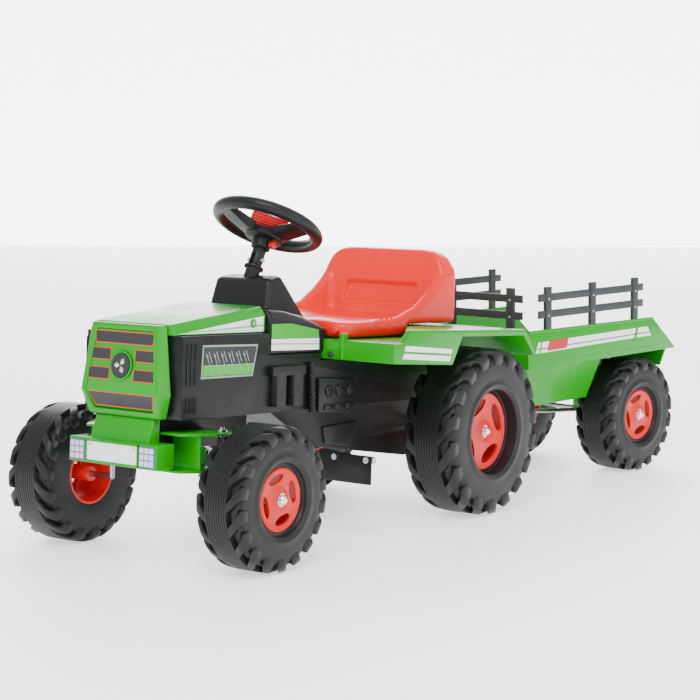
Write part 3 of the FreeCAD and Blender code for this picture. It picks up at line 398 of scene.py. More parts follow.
# ------------------------------------------------------------------ mesh making
class Form:
    """A mesh being made with mesh operators; a method that gives the form back can be chained."""

    def __init__(self) -> None:
        """Start empty."""
        self.bm = bmesh.new()

    def block(self, low: Sequence[float], high: Sequence[float]) -> "Form":
        """A box between two corners.

        Args:
            low: Its lowest corner.
            high: Its highest corner.

        Returns:
            This form.
        """
        middle = (Vector(low) + Vector(high)) / 2
        size = Vector(high) - Vector(low)
        shape = Matrix.Translation(middle) @ Matrix.Diagonal((*size, 1.0))
        bmesh.ops.create_cube(self.bm, size=1.0, matrix=shape)
        return self

    def hull(self, points: Iterable[Sequence[float]], both: bool = False) -> "Form":
        """The tightest closed form round some corners, or round them and their mirror images.

        Args:
            points: The corners.
            both: Whether their mirror images across the XZ plane count too.

        Returns:
            This form.
        """
        sides = (1, -1) if both else (1,)
        verts = [self.bm.verts.new((x, s * y, z)) for s in sides for x, y, z in points]
        made = bmesh.ops.convex_hull(self.bm, input=verts)
        loose = [v for v in made["geom_interior"] if isinstance(v, bmesh.types.BMVert)]
        bmesh.ops.delete(self.bm, geom=loose, context="VERTS")
        return self.flatten()

    def flatten(self) -> "Form":
        """Join faces that lie in one plane.

        Returns:
            This form.
        """
        bmesh.ops.dissolve_limit(self.bm, angle_limit=math.radians(1.0), verts=self.bm.verts,
                                 edges=self.bm.edges)
        return self

    def prism(self, outline: Sequence[Sequence[float]], reach: Sequence[float]) -> "Form":
        """A flat outline of 3-D corners pushed out along a vector.

        Args:
            outline: The corners in order.
            reach: The vector.

        Returns:
            This form.
        """
        verts = [self.bm.verts.new(p) for p in outline]
        face = self.bm.faces.new(verts)
        made = bmesh.ops.extrude_face_region(self.bm, geom=[face], use_keep_orig=True)
        moved = [v for v in made["geom"] if isinstance(v, bmesh.types.BMVert)]
        bmesh.ops.translate(self.bm, verts=moved, vec=Vector(reach))
        return self.outward()

    def outward(self) -> "Form":
        """Turn every face outward."""
        bmesh.ops.recalc_face_normals(self.bm, faces=self.bm.faces)
        return self

    def lathe(self, outline: Sequence[Pair], steps: int) -> "Form":
        """Turn a closed outline of (radius, y) corners about the Y axis in a number of steps.

        Args:
            outline: The corners in order.
            steps: How many slices a full turn has.

        Returns:
            This form.
        """
        verts = [self.bm.verts.new((r, y, 0.0)) for r, y in outline]
        count = len(verts)
        edges = [self.bm.edges.new((verts[i], verts[(i + 1) % count])) for i in range(count)]
        bmesh.ops.spin(self.bm, geom=verts + edges, cent=(0, 0, 0), axis=(0, 1, 0), dvec=(0, 0, 0),
                       angle=math.tau, steps=steps, use_merge=True, use_duplicate=False)
        bmesh.ops.remove_doubles(self.bm, verts=self.bm.verts, dist=1e-6)
        return self.outward()

    def ring(self, radius: float, tube: float, tube_steps: int, steps: int, lift: float = 0.0) -> "Form":
        """A round bar bent into a circle about the Z axis.

        Args:
            radius: From the axis to the middle of the bar.
            tube: Radius of the bar.
            tube_steps: Sides of the bar.
            steps: Lengths round the circle.
            lift: Height above the XY plane.

        Returns:
            This form.
        """
        place = Matrix.Translation((radius, 0, lift)) @ Matrix.Rotation(math.pi / 2, 4, "X")
        bmesh.ops.create_circle(self.bm, segments=tube_steps, radius=tube, matrix=place)
        section = list(self.bm.verts) + list(self.bm.edges)
        bmesh.ops.spin(self.bm, geom=section, cent=(0, 0, 0), axis=(0, 0, 1), dvec=(0, 0, 0), angle=math.tau,
                       steps=steps, use_merge=True, use_duplicate=False)
        return self.outward()

    def rod(self, start: Sequence[float], end: Sequence[float], radius: float, steps: int = 24,
            end_radius: float | None = None) -> "Form":
        """A round bar or cone between two points.

        Args:
            start: Middle of one end.
            end: Middle of the other.
            radius: Radius at the start.
            steps: Number of sides.
            end_radius: Radius at the end, where it differs.

        Returns:
            This form.
        """
        a, b = Vector(start), Vector(end)
        span = b - a
        turn = span.to_track_quat("Z", "Y").to_matrix().to_4x4()
        place = Matrix.Translation((a + b) / 2) @ turn
        bmesh.ops.create_cone(self.bm, cap_ends=True, cap_tris=False, segments=steps, radius1=radius,
                              radius2=radius if end_radius is None else end_radius, depth=span.length,
                              matrix=place)
        return self

    def ball(self, centre: Sequence[float], radius: float, squash: Triple = (1.0, 1.0, 1.0)) -> "Form":
        """A ball, or an egg.

        Args:
            centre: Its middle.
            radius: Its radius.
            squash: Stretch along each axis.

        Returns:
            This form.
        """
        place = Matrix.Translation(Vector(centre)) @ Matrix.Diagonal((*squash, 1.0))
        bmesh.ops.create_uvsphere(self.bm, u_segments=24, v_segments=14, radius=radius, matrix=place)
        return self

    def soften(self, width: float, segments: int = 2, least: float = 25.0) -> "Form":
        """Round the edges whose faces meet at more than least degrees.

        Args:
            width: How wide the rounding is.
            segments: How many strips it has.
            least: The smallest angle, in degrees, that is rounded.

        Returns:
            This form.
        """
        self.bm.normal_update()
        edges = [e for e in self.bm.edges if len(e.link_faces) == 2
                 and least < math.degrees(e.calc_face_angle(0.0)) < 180.0]
        if edges:
            bmesh.ops.bevel(self.bm, geom=edges, offset=width, offset_type="OFFSET", segments=segments,
                            profile=0.5, affect="EDGES", clamp_overlap=True, material=-1)
        return self

    def move(self, change: Callable[[Vector], Vector]) -> "Form":
        """Move every corner by a rule.

        Args:
            change: Where each corner goes.

        Returns:
            This form.
        """
        for vert in self.bm.verts:
            vert.co = change(vert.co)
        return self

    def place(self, matrix: Matrix) -> "Form":
        """Carry the whole form by a matrix.

        Args:
            matrix: The matrix.

        Returns:
            This form.
        """
        bmesh.ops.transform(self.bm, matrix=matrix, verts=self.bm.verts)
        if matrix.determinant() < 0:
            bmesh.ops.reverse_faces(self.bm, faces=self.bm.faces)
        return self

    def mirrored(self) -> "Form":
        """Add the same form on the other side of the tractor.

        Returns:
            This form.
        """
        old = list(self.bm.verts) + list(self.bm.edges) + list(self.bm.faces)
        made = bmesh.ops.duplicate(self.bm, geom=old)["geom"]
        verts = [g for g in made if isinstance(g, bmesh.types.BMVert)]
        faces = [g for g in made if isinstance(g, bmesh.types.BMFace)]
        bmesh.ops.scale(self.bm, vec=(1.0, -1.0, 1.0), verts=verts)
        bmesh.ops.reverse_faces(self.bm, faces=faces)
        return self

    def absorb(self, other: "Form") -> "Form":
        """Add another form's mesh to this one.

        Args:
            other: The other form, which is used up.

        Returns:
            This form.
        """
        mesh = bpy.data.meshes.new("joined")
        other.bm.to_mesh(mesh)
        other.bm.free()
        self.bm.from_mesh(mesh)
        bpy.data.meshes.remove(mesh)
        return self

    def spend(self, name: str) -> bpy.types.Object:
        """Turn the form into an object in the scene.

        Args:
            name: Its name.

        Returns:
            The object.
        """
        mesh = bpy.data.meshes.new(name)
        self.bm.to_mesh(mesh)
        self.bm.free()
        item = bpy.data.objects.new(name, mesh)
        bpy.context.scene.collection.objects.link(item)
        return item

    def on_tractor(self, name: str, skin: Skin, replaced: Sequence[str] = (), crease: float = 32.0) -> None:
        """Finish a form drawn in level millimetres as a piece of the tractor's body."""
        self.place(LEVEL).finish(name, skin, "tractor", replaced, crease)

    def on_trailer(self, name: str, skin: Skin) -> None:
        """Finish a form drawn in straight millimetres as a piece of the trailer."""
        self.place(STRAIGHT).finish(name, skin, "trailer")

    def finish(self, name: str, skin: Skin, body: str, replaced: Sequence[str] = (),
               crease: float = 32.0) -> None:
        """Turn the form into a named piece that rides on a body.

        Args:
            name: The piece's name.
            skin: Its finish.
            body: The body it moves with.
            replaced: CAD nodes that it stands for.
            crease: Angle in degrees past which an edge stays sharp.
        """
        piece = self.spend(name)
        mesh = piece.data
        mesh.shade_smooth()
        mesh.set_sharp_from_angle(angle=math.radians(crease))
        mesh.materials.append(skin.material())
        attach(piece, body)
        if replaced:
            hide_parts(*replaced)
        LOG.info("%s on %s: %d faces", name, body, len(mesh.polygons))


def softened(node: str, width: float, segments: int = 2) -> Form:
    """A CAD node's shape with its edges rounded, as a new form in the row frame.

    Args:
        node: The node's name.
        width: How wide the rounding is, in metres.
        segments: How many strips it has.

    Returns:
        The form.
    """
    form = Form()
    form.bm.from_mesh(frame["nodes"][node].data)
    form.place(frame["nodes"][node].matrix_world)
    bmesh.ops.remove_doubles(form.bm, verts=form.bm.verts, dist=1e-6)
    return form.flatten().soften(width, segments)


def evaluated(item: bpy.types.Object) -> Form:
    """An object's shape with its modifiers applied, as a new form.

    Args:
        item: The object.

    Returns:
        The form.
    """
    mesh = bpy.data.meshes.new_from_object(item.evaluated_get(bpy.context.evaluated_depsgraph_get()))
    result = Form()
    result.bm.from_mesh(mesh)
    bpy.data.meshes.remove(mesh)
    return result


def discard(*items: bpy.types.Object) -> None:
    """Take helper objects out of the scene with their meshes.

    Args:
        *items: The objects.
    """
    for item in items:
        mesh = item.data
        bpy.data.objects.remove(item)
        bpy.data.meshes.remove(mesh)


def cut_away(form: Form, cutter: Form) -> Form:
    """The form with the cutter's space taken out of it.

    Args:
        form: What is cut.
        cutter: The space taken out. Both are used up.

    Returns:
        The cut form.
    """
    whole, knife = form.outward().spend("cutting"), cutter.outward().spend("cutting")
    tool = whole.modifiers.new("Cut", "BOOLEAN")
    tool.object = knife
    tool.operation = "DIFFERENCE"
    tool.solver = "EXACT"
    result = evaluated(whole)
    discard(whole, knife)
    bmesh.ops.remove_doubles(result.bm, verts=result.bm.verts, dist=1e-6)
    return result


def melted(form: Form, voxel: float, passes: int) -> Form:
    """Overlapping forms joined into one skin and eased.

    Args:
        form: The overlapping forms.
        voxel: Cell of the joined skin, in the form's unit.
        passes: How many times it is smoothed.

    Returns:
        The joined form.
    """
    item = form.spend("melting")
    remesh = item.modifiers.new("Skin", "REMESH")
    remesh.mode = "VOXEL"
    remesh.voxel_size = voxel
    smooth = item.modifiers.new("Ease", "SMOOTH")
    smooth.factor = 0.5
    smooth.iterations = passes
    result = evaluated(item)
    discard(item)
    return result


def dress(skin: Skin, *nodes: str) -> None:
    """Give CAD nodes that stay as they are a finish.

    Args:
        skin: The finish.
        *nodes: Names of the nodes.
    """
    for node in nodes:
        data = frame["nodes"][node].data
        data.materials.clear()
        data.materials.append(skin.material())


# ------------------------------------------------------------------ spaces in millimetres
LEVEL = LEAN @ Matrix.Scale(0.001, 4)
STRAIGHT = TOW @ Matrix.Scale(0.001, 4)


@dataclass(frozen=True)
class Span:
    """Extent of a CAD node in level or straight space, in millimetres."""

    low: Vector
    high: Vector

    @classmethod
    def of(cls, node: str, space: Matrix = LEVEL) -> "Span":
        """Measure a node."""
        return cls(*local_box(node, space))

    @property
    def middle(self) -> Vector:
        """Centre of the extent."""
        return (self.low + self.high) / 2


def slab_on_side(outline: Sequence[Pair], y: float, thick: float) -> Form:
    """A thin plate drawn in the XZ plane on the outside of each side wall.

    Args:
        outline: (x, z) corners in order.
        y: Where the wall is.
        thick: How far the plate stands out.

    Returns:
        The form, in level or straight millimetres.
    """
    return Form().prism([(x, y - 0.2, z) for x, z in outline], (0.0, thick + 0.2, 0.0)).mirrored()


def tidy(node: str, skin: Skin, width: float, segments: int = 2, body: str = "tractor") -> None:
    """A CAD node's shape with rounded edges, shown in its place."""
    softened(node, width / 1000, segments).finish(node + "_shape", skin, body, [node])


# ------------------------------------------------------------------ wheels
@dataclass(frozen=True)
class WheelSize:
    """Sizes of one kind of wheel, in millimetres."""

    lip: float
    bead: float
    recess: float
    slot_turn: float
    wall: float = 4.5
    shoulder: float = 15.0
    band_half: float = 22.0
    lug_depth: float = 9.0
    lugs: int = 18
    slot_half: float = 7.0
    slot_reach: float = 19.0
    slot_centre: float = 34.0
    hub: float = 13.0
    plate: float = 4.0
    bore: float = 5.05


@dataclass(frozen=True)
class Wheel:
    """A moulded lugged tyre on a slotted red rim."""

    name: str
    body: str
    size: WheelSize
    tyre_steps: int = 108
    rim_steps: int = 72
    slots: int = 4

    def space(self) -> Matrix:
        """Wheel space in millimetres, +Y outward along the axle, to the row frame.

        Returns:
            The matrix.
        """
        joint = self.name + "_roll"
        low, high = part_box(self.name + "_tyre")
        centre = joint_place(joint)
        across = joint_axis(joint)
        outward = across if (("left" in self.name) == (across.y > 0)) else -across
        middle = (low + high) / 2
        centre = centre + across * (middle - centre).dot(across)
        turn = Vector((0, 1, 0)).rotation_difference(outward).to_matrix().to_4x4()
        return Matrix.Translation(centre) @ turn @ Matrix.Scale(0.001, 4)

    def extent(self, space: Matrix) -> tuple[float, float]:
        """Outer radius and half width of the tyre."""
        span = Span.of(self.name + "_tyre", space)
        return span.high.z, (span.high.y - span.low.y) / 2

    def carcass(self, radius: float, half: float) -> Form:
        """The tyre without its lugs: grooved middle band, shoulders, sidewalls and dish.

        Args:
            radius: Outer radius.
            half: Half the width.

        Returns:
            The form in wheel space.
        """
        s = self.size
        low = radius - s.lug_depth
        band = []
        grooves = 9
        pitch = 2 * s.band_half / grooves
        for i in range(grooves):
            y = -s.band_half + i * pitch
            band += [(radius, y + 0.3), (radius, y + pitch - 0.9), (radius - 1.3, y + pitch - 0.6),
                     (radius - 1.3, y + pitch + 0.0)]
        inner = half - s.recess - s.wall
        outline = [(s.bead, s.wall - half), (s.bead + s.shoulder, -half + 1), (0.79 * radius, -half + 1.5),
                   (0.86 * radius, 3.5 - half), (low - 2, s.shoulder - half - 2),
                   (low, s.shoulder - half + 8), (low + 1, -s.band_half - 2)]
        outline += band
        outline += [(low + 1, s.band_half + 2), (low, half - s.shoulder - 8),
                    (low - 2, half - s.shoulder + 2), (0.86 * radius, half - 3.5),
                    (0.79 * radius, half - 1.5), (s.lip + 22, half - 0.8), (s.lip + 13, half - 1.4),
                    (s.lip + 11, half - 0.1), (s.lip + 7, half), (s.lip + 5, half - 1.4),
                    (s.lip + 2.5, half - 1.8), (s.lip, half - 4), (s.lip - 0.5, half - s.recess + 2),
                    (s.lip - 2.5, half - s.recess), (s.bead, half - s.recess)]
        outline += [(s.bead, inner), (s.lip + s.wall, inner), (s.lip + s.wall, half - 2 * s.wall),
                    (low - s.shoulder, half - 2 * s.wall), (low - s.wall, half - s.shoulder - 8),
                    (low - s.wall, s.shoulder - half + 8), (low - s.shoulder, 2 * s.wall - half),
                    (s.bead + s.shoulder, s.wall - half + 1), (s.bead, 2 * s.wall - half)]
        return Form().lathe(outline, self.tyre_steps)

    def lug_path(self, u: float, radius: float, half: float) -> tuple[Vector, Vector]:
        """Point on the outer envelope and the way in from it, as (y, r), at u from 0 to 1.

        Args:
            u: How far along the lug.
            radius: Outer radius.
            half: Half the tyre's width.

        Returns:
            The point and the direction.
        """
        s = self.size
        corner = s.shoulder
        flat = half - corner - (s.band_half - 2)
        bend = corner * math.pi / 2
        drop = 0.90 * radius - 0.80 * radius
        along = u * (flat + bend + drop)
        if along < flat:
            return Vector((s.band_half - 2 + along, radius)), Vector((0, -1))
        if along < flat + bend:
            turn = (along - flat) / corner
            out = Vector((math.sin(turn), math.cos(turn)))
            return Vector((half - corner, radius - corner)) + out * corner, -out
        return Vector((half, radius - corner - (along - flat - bend))), Vector((-1, 0))

    def lug(self, radius: float, half: float) -> Form:
        """One lug, slanting back from the middle band and round the shoulder.

        Args:
            radius: Outer radius.
            half: Half the tyre's width.

        Returns:
            The form in wheel space.
        """
        s = self.size
        form = Form()
        form.block((0, -0.5, 0), (1, 0.5, 1))
        long_edges = [e for e in form.bm.edges if abs(e.verts[0].co.x - e.verts[1].co.x) > 0.5]
        bmesh.ops.subdivide_edges(form.bm, edges=long_edges, cuts=11, use_grid_fill=True)

        def onto(co: Vector) -> Vector:
            """A corner of the plain block carried onto the tyre.

            Args:
                co: The corner.

            Returns:
                Its place in wheel space.
            """
            u, across, top = co.x, co.y, co.z
            point, inward = self.lug_path(u, radius, half)
            thin = s.lug_depth * (1.0 if u < 0.75 else 1.0 - (u - 0.75) * 2.4) + 1.5
            sink = (1.0 - top) * thin + (max(0.0, u - 0.8) * 9.0 if top > 0.5 else 0.0)
            place = point + inward * sink
            flare = 1.0 if top > 0.5 else 1.2
            width = (0.135 + 0.06 * min(1.0, u * 1.6)) * flare * (1.0 - max(0.0, u - 0.8) * 0.9)
            angle = 0.24 * min(u, 0.6) / 0.6 + across * width
            return Vector((place.y * math.cos(angle), place.x, place.y * math.sin(angle)))

        return form.move(onto).outward().soften(1.5, 2, 48.0)

    def tread(self, radius: float, half: float) -> Form:
        """All lugs, staggered from side to side.

        Args:
            radius: Outer radius.
            half: Half the tyre's width.

        Returns:
            The form in wheel space.
        """
        s = self.size
        form = Form()
        pitch = math.tau / s.lugs
        for side in (1, -1):
            for step in range(s.lugs):
                angle = pitch * (step + (0.5 if side < 0 else 0.0))
                turn = Matrix.Rotation(angle, 4, "Y") @ Matrix.Diagonal((1.0, float(side), 1.0, 1.0))
                form.absorb(self.lug(radius, half).place(turn))
        return form

    def rim(self, half: float, centre_hole: float) -> Form:
        """The red disc with a barrel behind it and four kidney slots.

        Args:
            half: Half the tyre's width.
            centre_hole: Radius of the axle's bore.

        Returns:
            The form in wheel space.
        """
        s = self.size
        face = half - s.recess
        inner = s.wall - half
        barrel = s.bead - 0.3
        form = Form().lathe([
            (centre_hole, inner), (s.hub, inner), (s.hub, face - s.plate - 6),
            (barrel - s.plate - 2, face - s.plate), (barrel - s.plate, inner + s.plate),
            (barrel - s.plate, inner), (barrel, inner), (barrel, face - 0.5),
            (barrel - 1, face + 1.2), (barrel - 3.5, face + 2), (barrel - 7, face + 0.6),
            ((s.hub + barrel) / 2 + 4, face - 1.4), (s.hub + 10, face - 2), (s.hub + 5, face - 0.5),
            (s.hub + 2, face + 1.6), (s.hub - 1, face + 2), (centre_hole, face + 2)], self.rim_steps)
        stretch = Matrix.Diagonal((s.slot_half, 1.0, s.slot_reach, 1.0)) @ Matrix.Rotation(math.pi / 2, 4, "X")
        for step in range(self.slots):
            turn = Matrix.Rotation(math.tau * step / self.slots + math.radians(s.slot_turn), 4, "Y")
            slot = Form()
            bmesh.ops.create_cone(slot.bm, cap_ends=True, segments=36, radius1=1.0, radius2=1.0, depth=26.0,
                                  matrix=turn @ Matrix.Translation((s.slot_centre, face, 0)) @ stretch)
            form = cut_away(form, slot)
        return form.soften(0.9, 2, 40.0)

    def build(self) -> None:
        """Make the tyre and the rim."""
        space = self.space()
        radius, half = self.extent(space)
        tyre = self.carcass(radius, half).absorb(self.tread(radius, half)).place(space)
        tyre.finish(self.name + "_moulded_tyre", Skin.TYRE, self.body, [self.name + "_tyre"], 40.0)
        rim = self.rim(half, self.size.bore).place(space)
        rim.finish(self.name + "_slotted_rim", Skin.RIM, self.body, [self.name + "_rim"])


# ------------------------------------------------------------------ front of the tractor
@dataclass(frozen=True)
class Nose:
    """Green nose with a barred face and a round badge."""

    bar_proud: float = 1.0
    outline: float = 1.7
    ring_tube: float = 1.6
    fold_rise: float = 29.5
    upper_slope: float = 11.6
    lower_slope: float = 14.0

    def face_x(self, z: float, panel: Span) -> float:
        """Where the panel's face is at a height.

        Args:
            z: The height.
            panel: The panel's extent.

        Returns:
            x of the face.
        """
        fold = panel.low.z + self.fold_rise
        if z > fold:
            return panel.high.x - (z - fold) / (panel.high.z - fold) * self.upper_slope
        return panel.high.x - (fold - z) / (fold - panel.low.z) * self.lower_slope

    def bar(self, low: float, high: float, near: Pair, far: Pair, thick: float, panel: Span) -> Form:
        """One bar between two heights.

        Args:
            low: Its lower edge.
            high: Its upper edge.
            near: y of its two ends at the lower edge.
            far: y of its two ends at the upper edge.
            thick: How far it stands out.
            panel: The panel's extent.

        Returns:
            The form in level millimetres.
        """
        x_low, x_high = self.face_x(low, panel), self.face_x(high, panel)
        return Form().prism([(x_low, near[0], low), (x_low, near[1], low), (x_high, far[1], high),
                             (x_high, far[0], high)], (thick, 0.0, 0.0))

    def beside(self, gap: float, wide: float) -> list[tuple[Pair, Pair]]:
        """Ends of the two bars on either side of the badge."""
        return [((-wide, -gap), (-wide, -gap)), ((gap, wide), (gap, wide))]

    def bars(self, panel: Span, badge: Span) -> None:
        """Four rows of bars with a thin outline.

        Args:
            panel: The panel's extent.
            badge: The badge's extent.
        """
        middle = badge.middle.z
        gap = (badge.high.y - badge.low.y) / 2 + 8
        rows = [(middle + 35, middle + 52, [((-60.0, 60.0), (-62.0, 62.0))]),
                (middle + 8, middle + 25, self.beside(gap, 66.5)),
                (middle - 23, middle - 6, self.beside(gap, 70.0)),
                (panel.low.z + 5, panel.low.z + 26, [((-60.0, 60.0), (-68.5, 68.5))])]
        bars, edges = Form(), Form()
        o = self.outline
        for low, high, ends in rows:
            for near, far in ends:
                bars.absorb(self.bar(low, high, near, far, self.bar_proud, panel))
                edges.absorb(self.bar(low - o, high + o, (near[0] - o, near[1] + o), (far[0] - o, far[1] + o),
                                      self.bar_proud * 0.6, panel))
        bars.soften(0.3, 1).on_tractor("grille_bars", Skin.BAR)
        edges.on_tractor("grille_bar_outlines", Skin.OUTLINE)

    def build(self) -> None:
        """Make the shell, the panel, the bars and the badge."""
        tidy("nose_shell", Skin.GREEN, 3.5, 3)
        tidy("grille_panel", Skin.GREEN, 0.4, 1)
        panel, badge = Span.of("grille_panel"), Span.of("grille_badge")
        self.bars(panel, badge)
        dress(Skin.BAR, "grille_badge")
        radius = (badge.high.y - badge.low.y) / 2
        slope = math.atan2(self.upper_slope, panel.high.z - panel.low.z - self.fold_rise)
        turn = Matrix.Translation(badge.middle) @ Matrix.Rotation(math.pi / 2 - slope, 4, "Y")
        ring = Form().ring(radius + 2.6, self.ring_tube, 10, 48, 0.2).place(turn)
        ring.on_tractor("badge_ring", Skin.GREEN)
        emblem = Form()
        for step in range(3):
            petal = Form().hull([(2, -1.2, 0), (2, 1.2, 0), (8, -4.6, 0), (13.5, 0.4, 0), (8, 4.2, 0),
                                 (3, 0, 0.7), (8, 0, 1.1), (12, 0.3, 0.7)])
            emblem.absorb(petal.place(Matrix.Rotation(math.tau * step / 3 + 0.5, 4, "Z")))
        emblem.place(turn @ Matrix.Translation((0, 0, 2.2)))
        emblem.on_tractor("badge_emblem", Skin.BRIGHT, crease=10.0)


@dataclass(frozen=True)
class Hood:
    """Green hood with a white wedge and a thin line along each side."""

    bevel: float = 13.0
    rounding: float = 4.0
    fall: float = 27.0
    inset: float = 6.0

    def build(self) -> None:
        """Make the hood and its decals."""
        span = Span.of("hood")
        nose_x, rear, half, edge = span.high.x, span.low.x, span.high.y, span.low.z
        front_top, rear_top = span.high.z - self.fall, span.high.z
        corners = []
        for x, top in ((rear, rear_top), (nose_x, front_top)):
            corners += [(x, half, edge), (x, half, top - self.bevel), (x, half - self.bevel, top)]
        shape = Form().hull(corners, both=True).soften(self.rounding, 3, 20.0)
        shape.on_tractor("hood_shape", Skin.GREEN, ["hood"])
        low, top_rear, top_front = edge + 2.5, rear_top - self.bevel - 3, front_top - self.bevel - 1.5
        x0, x1 = rear + self.inset, nose_x - self.inset
        slab_on_side([(x1, low), (x1, top_front), (x0, top_rear), (x0, low)], half, 0.35).on_tractor(
            "hood_wedge", Skin.WHITE)
        slab_on_side([(x1, low + 0.6), (x1, low + 1.4), (x0, low + 12), (x0, low + 9)], half, 0.5).on_tractor(
            "hood_line", Skin.LINE)
        x, z = rear + 34, low + 14
        boss = Form().rod((x, half - 1, z), (x, half + 2.6, z), 7.5, 32).soften(1.2, 3, 40.0)
        boss.mirrored().on_tractor("hood_screw_bosses", Skin.GREEN)
        screw = Form().rod((x, half + 1, z), (x, half + 3.0, z), 3.2, 20)
        screw.mirrored().on_tractor("hood_screws", Skin.STEEL)


@dataclass(frozen=True)
class Bumper:
    """Green bumper with two lamps of nine facets and a blank plate."""

    facet_gap: float = 1.6
    facet_proud: float = 1.0
    frame_width: float = 3.0

    def build(self) -> None:
        """Make the bumper, the lamps and the plate."""
        tidy("bumper", Skin.GREEN, 1.4, 3)
        tidy("headlights", Skin.LAMP_EDGE, 0.6, 2)
        tidy("number_plate", Skin.WHITE, 0.5, 2)
        lamps, plate = Span.of("headlights"), Span.of("number_plate")
        facets = Form()
        size = (lamps.high.z - lamps.low.z - 4 * self.facet_gap) / 3
        pitch, face = size + self.facet_gap, lamps.high.x
        for row in range(3):
            for column in range(3):
                y = lamps.high.y - self.facet_gap - column * pitch
                z = lamps.low.z + self.facet_gap + row * pitch
                facets.block((face - 0.5, y - size, z), (face + self.facet_proud, y, z + size))
        facets.soften(0.8, 2).mirrored().on_tractor("lamp_facets", Skin.LAMP)
        rim = self.frame_width
        x0, x1 = plate.low.x - 1.0, plate.high.x + 1.2
        y1, z0, z1 = plate.high.y + rim, plate.low.z - rim, plate.high.z + rim
        border = Form()
        for low, high in (((-y1, z0), (y1, z0 + rim)), ((-y1, z1 - rim), (y1, z1)),
                          ((y1 - rim, z0), (y1, z1)), ((-y1, z0), (rim - y1, z1))):
            border.block((x0, *low), (x1, *high))
        border.soften(0.7, 2).on_tractor("plate_frame", Skin.GREEN)
        bolts = Form()
        for sign in (1, -1):
            bolts.ball((plate.high.x, sign * (plate.high.y - 6), plate.high.z - 5), 2.2, (0.5, 1.0, 1.0))
        bolts.on_tractor("plate_screws", Skin.STEEL)


